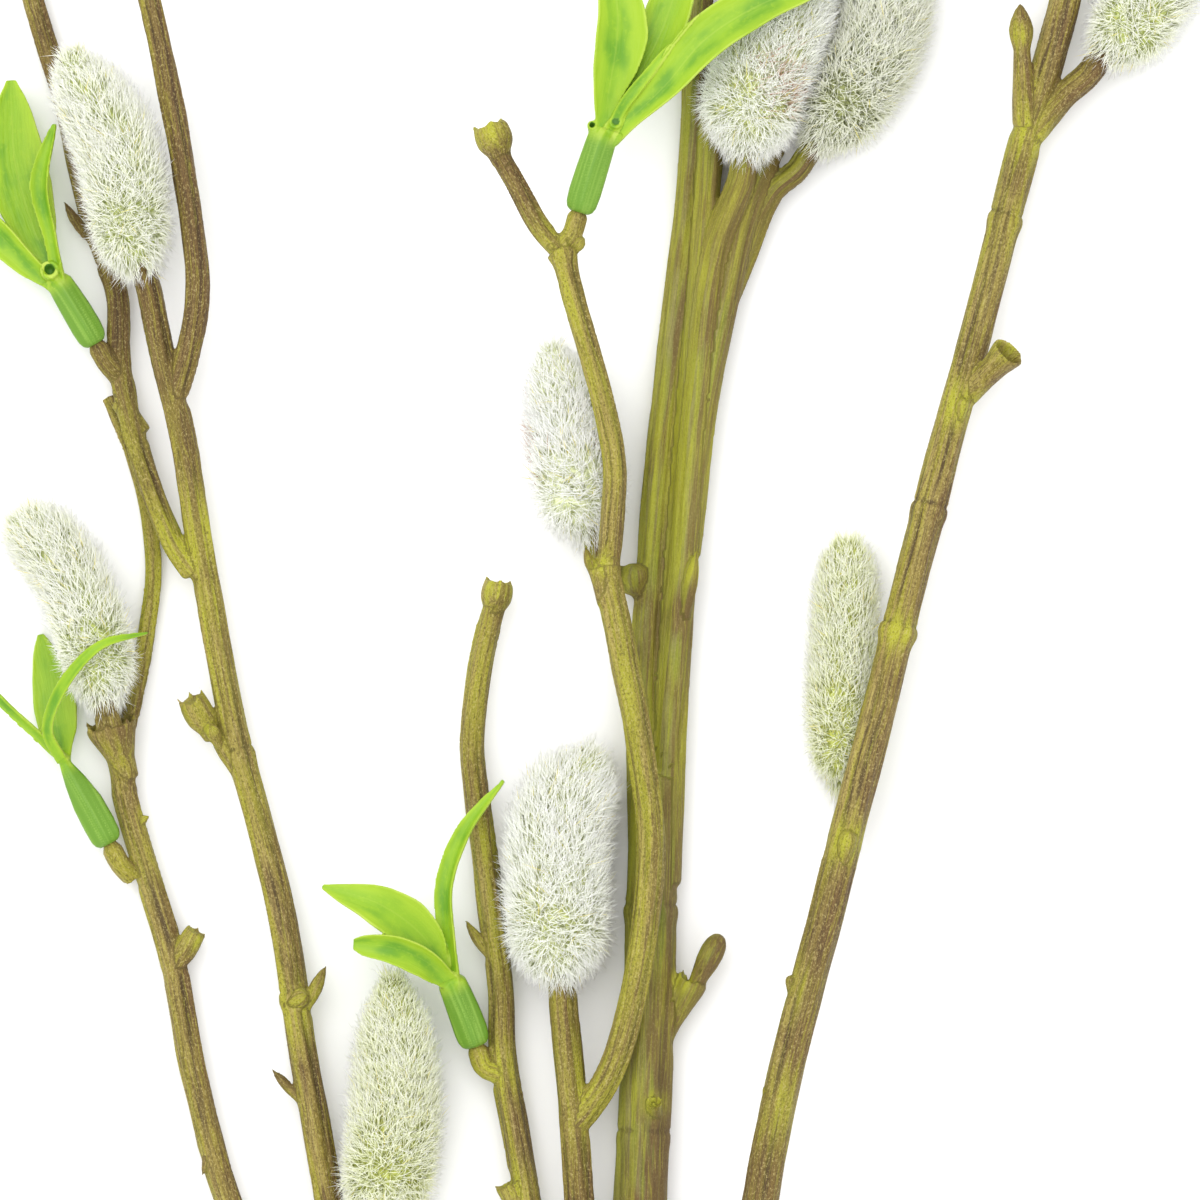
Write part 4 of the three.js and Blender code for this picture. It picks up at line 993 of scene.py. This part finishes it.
def build_twig(name, twig, material, voxel, seed):
    """One twig: a skin fused over all its forms, with ridges, ring nodes and marks for the bark."""
    rng = np.random.default_rng(seed)
    forms, paths = twig_forms(name, twig)
    points, faces = fused(forms, voxel, 3)
    on = Surface(points, paths)

    relief = bark_relief(on.angle, on.walked + RIDGE_SHIFT * on.owner, rng)
    ridge = np.clip(0.5 + relief / 0.5, 0, 1)
    main = on.owner < len(twig["shoots"])
    alone = np.clip((on.second - on.gap) / MEETING_WIDTH, 0, 1)
    fade = alone * np.where(main, 1, SMALL_RIDGES)
    swelling, seams = ring_marks(points, on, main, twig.get("rings", []))
    relief = relief * fade + swelling - SEAM_DEPTH * seams
    ridge = 0.5 + (ridge - 0.5) * fade - SEAM_SHADE * seams
    points = points + on.outward * relief[:, None]
    points[:, 2] = np.maximum(points[:, 2], LOWEST)

    mesh = mesh_of(name + "_bark", points, faces)
    turn = rng.uniform(0, 50)
    grain = np.stack([np.cos(on.angle) * on.girth, np.sin(on.angle) * on.girth + turn,
                      on.walked + GRAIN_SHIFT * on.owner], 1)
    store(mesh, grain=grain, ridge=ridge, side=np.cos(on.angle),
          fresh=near_spots(points, twig["fresh"]), brown=near_spots(points, twig["brown"]))
    return place_piece(name + "_bark", mesh, material, name)


# ------------------------------------------------------------------ sprigs

BLADE_THICKNESS = 0.28
BLADE_RIM = 0.12
STALK_THICKNESS = 0.5
SLEEVE_BORE = 1.05
EAR_HEIGHT = 2.6
HOLE_MARK = 2


def leaf_reach(share, leaf):
    """How far a blade reaches to the left and to the right, smoothly between the given stations."""
    spots = [np.clip(share, 0, 1) + shift for shift in (0, -0.03, 0.03)]
    return tuple(sum(np.interp(np.clip(spot, 0, 1), LEAF_SHARES, leaf[side]) for spot in spots) / 3
                 for side in ("left", "right"))


def leaf_frames(path, distances, roll):
    """Centres, the way along, the way the blade faces, and the way to its left."""
    centre, along, up, aside = path.frames(distances)
    angle = math.radians(roll)
    face = math.cos(angle) * up + math.sin(angle) * aside
    return centre, along, face, np.cross(face, along)


def leaf_form(leaf):
    """A thin blade that is folded up along its middle, with a thicker rolled edge."""
    path = Path(leaf["line"])
    shares = np.linspace(0, 1, 60)
    centre, _, face, side = leaf_frames(path, shares * path.length, leaf["roll"])
    left, right = leaf_reach(shares, leaf)
    across = np.sin(np.linspace(-math.pi / 2, math.pi / 2, 19))
    stalk = STALK_THICKNESS * np.exp(-((shares / 0.12) ** 2))
    rim = BLADE_RIM * np.exp(-(((np.abs(across) - 0.93) / 0.06) ** 2))
    thick = BLADE_THICKNESS + rim[None] + stalk[:, None] * (1 - across**2)[None]
    loop_across = np.concatenate([across, across[::-1]])
    loop_thick = np.concatenate([-thick, thick[:, ::-1]], 1)
    reach = np.where(loop_across[None] > 0, left[:, None], right[:, None]) * loop_across[None]
    rise = leaf["curl"] * np.abs(loop_across[None]) * np.abs(reach) + loop_thick
    rings = centre[:, None] + side[:, None] * reach[:, :, None] + face[:, None] * rise[:, :, None]
    return closed_rings(rings[:, ::-1])


def ear_form(place, radius):
    """A small curled ear where leaves leave the sleeve: a tube with a hole that the leaf plastic paints
    dark as shade.
    """
    top = np.array(place, float)
    path = Path([top - np.array([0, 0.8, EAR_HEIGHT]), top])
    stops = np.array([0, 0.7, 0.95, 1, 0.9, 0.55]) * path.length
    widths = np.array([0.8, 1, 1, 0.8, 0.55, 0.4]) * radius
    return lofted(path, stops, widths, 24)


def sleeve_form(line, radii):
    """A hollow sleeve: its bore, its pointed open end, its flat-sided body and its closed top."""
    path = Path(line)
    far = path.length
    base, middle, neck = radii
    stops = [3.2, 0.4, 0.1, 0.15, 0.55, 1.3, far * 0.25, far * 0.5, far * 0.75, far * 0.92, far]
    widths = [SLEEVE_BORE, SLEEVE_BORE, SLEEVE_BORE + 0.1, base * 0.62, base * 0.86, base,
              (base + middle) / 2 * 1.04, middle, (middle + neck) / 2, neck, neck * 0.7]

    def six_sided(angles):
        turned = (angles + math.pi / 6) % (math.pi / 3) - math.pi / 6
        flat = math.cos(math.pi / 6) / np.cos(turned)
        return (0.25 + 0.75 * flat)[None, :] * 1.02, np.zeros((1, len(angles)))

    return lofted(path, stops, widths, 48, six_sided)


def leaf_marks(points, leaves):
    """How far each point is from its blade's midrib, from 0 to 1, and its place in the pattern."""
    best = np.full(len(points), 1e9)
    across, blade = np.ones(len(points)), np.zeros((len(points), 3))
    for number, leaf in enumerate(leaves):
        path = Path(leaf["line"])
        centre, way, face, side = leaf_frames(path, path.walked, leaf["roll"])
        sample = nearest(points, centre)
        offset = points - centre[sample]
        share = np.clip((path.walked[sample] + (offset * way[sample]).sum(1)) / path.length, 0, 1)
        left, right = leaf_reach(share, leaf)
        off_middle = (offset * side[sample]).sum(1)
        half = np.where(off_middle > 0, left, right)
        over = off_middle / half
        height = (offset * face[sample]).sum(1) - leaf["curl"] * over**2 * half
        gap = np.hypot(np.maximum(np.abs(over) - 1, 0) * half, height)
        closer = gap < best
        best = np.where(closer, gap, best)
        across = np.where(closer, np.abs(over), across)
        place = np.stack([over * half + 17 * number, np.abs(over), share * path.length], 1)
        blade = np.where(closer[:, None], place, blade)
    return np.clip(across, 0, 1), blade


def sleeve_marks(points, sprig, blade):
    """1 on the sleeve and HOLE_MARK in the ears' holes, and the sleeve's places in the pattern."""
    tube = Path(sprig["sleeve"])
    centre, way, _, _ = tube.frames(tube.walked)
    sample = nearest(points, centre)
    offset = points - centre[sample]
    past = tube.walked[sample] + (offset * way[sample]).sum(1)
    inside = (np.linalg.norm(offset, axis=1) < max(sprig["radii"]) * 1.3) & (past < tube.length + 0.2)
    sleeve = np.where(inside, np.clip((tube.length - past) / 3 + 0.1, 0, 1), 0)
    for place, radius in sprig.get("ears", []):
        away = np.hypot(*(points[:, :2] - np.array(place[:2])).T) / radius
        hole = (away < 0.55) & (points[:, 2] < place[2] - 0.1) & (points[:, 2] > place[2] - 2)
        sleeve = np.where(hole, HOLE_MARK, sleeve)
    return sleeve, np.where(inside[:, None], offset + UP * tube.walked[sample][:, None] * 0.2, blade)


def build_sprig(name, sprig, material):
    """One sprig: a skin fused over its sleeve, leaves and ears, with marks for its plastic."""
    forms = [sleeve_form(sprig["sleeve"], sprig["radii"])]
    forms += [leaf_form(leaf) for leaf in sprig["leaves"]]
    forms += [ear_form(*ear) for ear in sprig.get("ears", [])]
    points, faces = fused(forms, SPRIG_VOXEL, 4)
    across, blade = leaf_marks(points, sprig["leaves"])
    sleeve, blade = sleeve_marks(points, sprig, blade)
    points[:, 2] = np.maximum(points[:, 2], LOWEST)
    mesh = mesh_of(name + "_leaves", points, faces)
    store(mesh, blade=blade, across=across, sleeve=sleeve)
    return place_piece(name + "_leaves", mesh, material, name)


# ------------------------------------------------------------------ catkins

# How far hairs lean toward the tip, or with a minus sign toward the base, at shares of the length.
LEAN_SHARES = [0.05, 0.1, 0.24, 0.44, 0.95]
LEANS = [-1.0, -0.8, 0.15, 0.9, 0.85]
YELLOW_HAIRS = 0.014
STAINED_HAIRS = 0.6
HAIR_UV_WIDTH = 0.006

# Hairs are rooted a little inside the core, stand this steeply on it, and droop this much half way.
ROOT_DEPTH = 0.97
STEEPNESS = 0.62
DROOP = 0.18

# How much single hairs differ from their neighbours: in lean, in swing and in droop.
LEAN_SPREAD = 0.42
SWING_SPREAD = 0.45
DROOP_SPREAD = 0.08

# Loose locks of hair lean and swing together, this much.
LOCK_LEAN = 0.35
LOCK_SWING = 0.5


def strands(stations, widths, spin):
    """Closed tapered hairs through stations of shape (hair, station, 3), each ending in a point."""
    count, levels = stations.shape[:2]
    way = unit(stations[:, -1] - stations[:, 0])
    first = unit(np.cross(way, spin))
    second = np.cross(way, first)
    rings = []
    for level in range(levels - 1):
        for side in range(3):
            angle = FULL_TURN * side / 3
            spoke = math.cos(angle) * first + math.sin(angle) * second
            rings.append(stations[:, level] + spoke * widths[level])
    points = np.stack([*rings, stations[:, -1]], 1).reshape(-1, 3)
    triangles = [(0, 2, 1)]
    for level in range(levels - 2):
        low = 3 * level
        for side in range(3):
            a, b = low + side, low + (side + 1) % 3
            triangles += [(a, b, b + 3), (a, b + 3, a + 3)]
    low, tip = 3 * (levels - 2), 3 * (levels - 1)
    triangles += [(low + side, low + (side + 1) % 3, tip) for side in range(3)]
    points_per_hair = tip + 1
    faces = np.array(triangles)[None] + points_per_hair * np.arange(count)[:, None, None]
    return points, faces.reshape(-1, 3)


def fur_reach(share, angle, catkin):
    """How far the fur's surface is from the line, at this share of its length and this angle."""
    left = np.interp(share, OUTLINE_SHARES, catkin["left"])
    right = np.interp(share, OUTLINE_SHARES, catkin["right"])
    return (left + right) / 2 + (left - right) / 2 * np.cos(angle)


def core_radius(share, angle, catkin):
    """The core is a smaller copy of the fur's surface that closes in a dome at each end."""
    low, high = CORE_ENDS
    dome = np.sqrt(np.clip(1 - np.abs((share - low) / (high - low) * 2 - 1) ** 8, 0, 1))
    return fur_reach(share, angle, catkin) * CORE_SHARE * dome


def core_form(path, catkin):
    low, high = CORE_ENDS
    shares = low + (high - low) * (0.5 - 0.5 * np.cos(np.linspace(0.12, math.pi - 0.12, 46)))
    angles = np.arange(CORE_SIDES) * FULL_TURN / CORE_SIDES
    widths = core_radius(shares[:, None], angles[None], catkin)
    return lofted(path, shares * path.length, np.ones(len(shares)), CORE_SIDES,
                  lambda _: (widths, np.zeros((1, CORE_SIDES))))


def hair_places(path, catkin, rng):
    """Where hairs stand, spread evenly over the core: the share, the angle and the core's slope."""
    grid = np.linspace(*CORE_ENDS, 400)
    width = core_radius(grid, math.pi / 2, catkin)
    slope = np.gradient(width, grid * path.length)
    weight = width * np.sqrt(1 + np.clip(slope, -3, 3) ** 2)
    area = FULL_TURN * weight.sum() * (grid[1] - grid[0]) * path.length
    count = int(area * HAIRS_PER_MM2)
    total = np.concatenate([[0], np.cumsum(weight)])
    share = np.interp(rng.uniform(0, total[-1], count), total[1:], grid)
    angle = rng.uniform(0, FULL_TURN, count)
    return share, angle, np.clip(np.interp(share, grid, slope), -2.2, 2.2)


def hair_headings(walked, share, angle, rng):
    """How far each hair leans along the catkin and swings round it, in loose locks."""
    lock = np.sin(walked * 1.7 + 3 * np.sin(angle * 3 + 1)) * np.cos(angle * 6 + share * 19)
    lean = np.interp(share, LEAN_SHARES, LEANS) + LOCK_LEAN * lock
    lean = lean + rng.normal(0, LEAN_SPREAD, len(share))
    swing = LOCK_SWING * np.sin(angle * 8 + walked * 0.9 + 4 * lock)
    swing = swing + rng.normal(0, SWING_SPREAD, len(share))
    return lean[:, None], swing[:, None]


def fur_hairs(path, catkin, rng):
    """Root, middle and tip of every hair: it stands on the core, leans, and droops a little."""
    share, angle, slope = hair_places(path, catkin, rng)
    count = len(share)
    walked = share * path.length
    centre, along, up, aside = path.frames(walked)
    radial = np.cos(angle)[:, None] * aside + np.sin(angle)[:, None] * up
    normal = unit(radial - slope[:, None] * along)
    root = centre + radial * core_radius(share, angle, catkin)[:, None] * ROOT_DEPTH
    lean, swing = hair_headings(walked, share, angle, rng)
    heading = unit(normal * STEEPNESS + lean * along + swing * np.cross(along, radial))
    length = rng.uniform(*HAIR_LENGTHS, count)
    room = fur_reach(share, angle, catkin) * (1 - CORE_SHARE) * rng.uniform(0.7, 1.25, count)
    above_base = (share - CORE_ENDS[0]) * path.length
    below_tip = (CORE_ENDS[1] - share) * path.length
    tuft = BASE_TUFT * np.exp(-((above_base / 2) ** 2)) + TIP_TUFT * np.exp(-((below_tip / 1.5) ** 2))
    room = np.maximum(room, tuft * rng.uniform(0.5, 1, count))
    length = np.minimum(length, room / np.maximum((heading * normal).sum(1), 0.3))
    bend = unit(heading - DROOP * normal + rng.normal(0, DROOP_SPREAD, (count, 3)))
    middle = root + heading * (0.5 * length)[:, None]
    stations = np.stack([root, middle, middle + bend * (0.5 * length)[:, None]], 1)
    stations[:, :, 2] = np.maximum(stations[:, :, 2], LOWEST + 0.15)
    return stations


def hair_tones(stations, stains, rng):
    """A tone for each hair: most are plain, a few are yellow, and many near a stain are brown."""
    tone = rng.uniform(0.02, PLAIN_TONES, len(stations))
    tone[rng.uniform(0, 1, len(stations)) < YELLOW_HAIRS] = YELLOW_TONE
    for place, reach in stains:
        away = np.linalg.norm(stations[:, 2] - np.array(place, float), axis=1)
        stained = rng.uniform(0, 1, len(tone)) < STAINED_HAIRS * np.exp(-((away / reach) ** 2))
        tone[stained] = BROWN_TONE
    return tone


def build_catkin(name, catkin, material, seed):
    """One catkin: its core and its hairs, with a map that holds each hair's tone and its length."""
    rng = np.random.default_rng(seed)
    path = Path(catkin["line"])
    core_points, core_faces = core_form(path, catkin)
    stations = fur_hairs(path, catkin, rng)
    hairs = strands(stations, (HAIR_RADIUS, HAIR_RADIUS * 0.85), rng.normal(0, 1, (len(stations), 3)))
    points, faces = merged([(core_points, core_faces), hairs])
    tone = hair_tones(stations, catkin.get("stains", []), rng)
    corner = np.array([-1, 0, 1, -1, 0, 1, 0]) * HAIR_UV_WIDTH
    core_tone = 0.5 + 0.35 * np.sin(core_points @ np.array([2.1, 1.7, 1.3]))
    core_along = 0.02 + 0.02 * np.sin(core_points @ np.array([1.1, 2.3, 0.7]))
    tones = np.concatenate([core_tone, (tone[:, None] + corner).ravel()])
    alongs = np.concatenate([core_along, np.tile([0, 0, 0, 0.5, 0.5, 0.5, 1], len(stations))])

    mesh = mesh_of(name + "_fur", points, faces)
    store(mesh, tone=tones, along=alongs)
    layer = mesh.uv_layers.new(name="OFBake")
    spread = np.stack([tones, alongs], 1)[corner_points(mesh)]
    layer.uv.foreach_set("vector", spread.astype(np.float32).ravel())
    return place_piece(name + "_fur", mesh, material, name)


# ------------------------------------------------------------------ studio

WHITE_FLOOR = 0.92
FLOOR_REACH = 2.5
SKY_STRENGTH = 1.35
KEY_POWER = 7
KEY_SIZE = 1.0
KEY_PLACE = (-0.25, 0.35, 1.1)
DIFFUSE_BOUNCES = 8
PICTURE_MIDDLE = (SHIFT[0] * MM, SHIFT[1] * MM)


def build_floor(scene):
    mesh = bpy.data.meshes.new("floor")
    corners = [(-1, -1), (1, -1), (1, 1), (-1, 1)]
    mesh.from_pydata([(x * FLOOR_REACH, y * FLOOR_REACH, 0) for x, y in corners], [], [(0, 1, 2, 3)])
    floor = bpy.data.objects.new("floor", mesh)
    scene.collection.objects.link(floor)
    paper = bpy.data.materials.new("white_paper")
    paper.use_nodes = True
    shader = paper.node_tree.nodes["Principled BSDF"]
    shader.inputs["Base Color"].default_value = (WHITE_FLOOR, WHITE_FLOOR, WHITE_FLOOR, 1)
    shader.inputs["Roughness"].default_value = 0.9
    shader.inputs["Specular IOR Level"].default_value = 0.1
    mesh.materials.append(paper)


def build_lights(scene):
    """An even white sky, and one large soft lamp from the upper left."""
    world = bpy.data.worlds.new("sky")
    world.use_nodes = True
    background = world.node_tree.nodes["Background"]
    background.inputs["Color"].default_value = (1, 1, 1, 1)
    background.inputs["Strength"].default_value = SKY_STRENGTH
    scene.world = world

    key = bpy.data.lights.new("key", "AREA")
    key.energy = KEY_POWER
    key.size = KEY_SIZE
    lamp = bpy.data.objects.new("key", key)
    lamp.location = KEY_PLACE
    beam = Vector((*PICTURE_MIDDLE, 0)) - Vector(KEY_PLACE)
    lamp.rotation_euler = beam.to_track_quat("-Z", "Y").to_euler()
    lamp.visible_camera = False
    scene.collection.objects.link(lamp)


def build_camera(scene):
    """A long lens straight above the pictured square."""
    lens = bpy.data.cameras.new("camera")
    lens.sensor_width = SENSOR_WIDTH
    lens.lens = SENSOR_WIDTH * (CAMERA_HEIGHT - FOCUS_HEIGHT) / PICTURE_WIDTH
    camera = bpy.data.objects.new("camera", lens)
    camera.location = (*PICTURE_MIDDLE, CAMERA_HEIGHT)
    scene.collection.objects.link(camera)
    scene.camera = camera


# ------------------------------------------------------------------ the branch

scene = bpy.context.scene
scene.view_settings.view_transform = "Standard"
scene.cycles.diffuse_bounces = DIFFUSE_BOUNCES
build_floor(scene)
build_lights(scene)
build_camera(scene)

# The fourth number sets the painted light and shade on the twigs' left and right sides.
bark = twig_material("olive_bark", OLIVE, STRAW, 0.22, 0.75, 0.6)
leader_bark = twig_material("leader_bark", LEADER_GREEN, LEADER_GREY, 0.42, 0.42, 0.2)
for seed, (name, twig) in enumerate(TWIGS.items()):
    if name == "main_stem":
        build_twig(name, twig, leader_bark, TRUNK_VOXEL, seed)
    else:
        build_twig(name, twig, bark, TWIG_VOXEL, seed)

leaf_plastic = leaf_material()
for name, sprig in SPRIGS.items():
    build_sprig(name, sprig, leaf_plastic)

furs = {kind: fur_material(*look) for kind, look in FURS.items()}
for seed, (name, catkin) in enumerate(CATKINS.items(), 40):
    build_catkin(name, catkin, furs[catkin.get("fur", "plain")], seed)
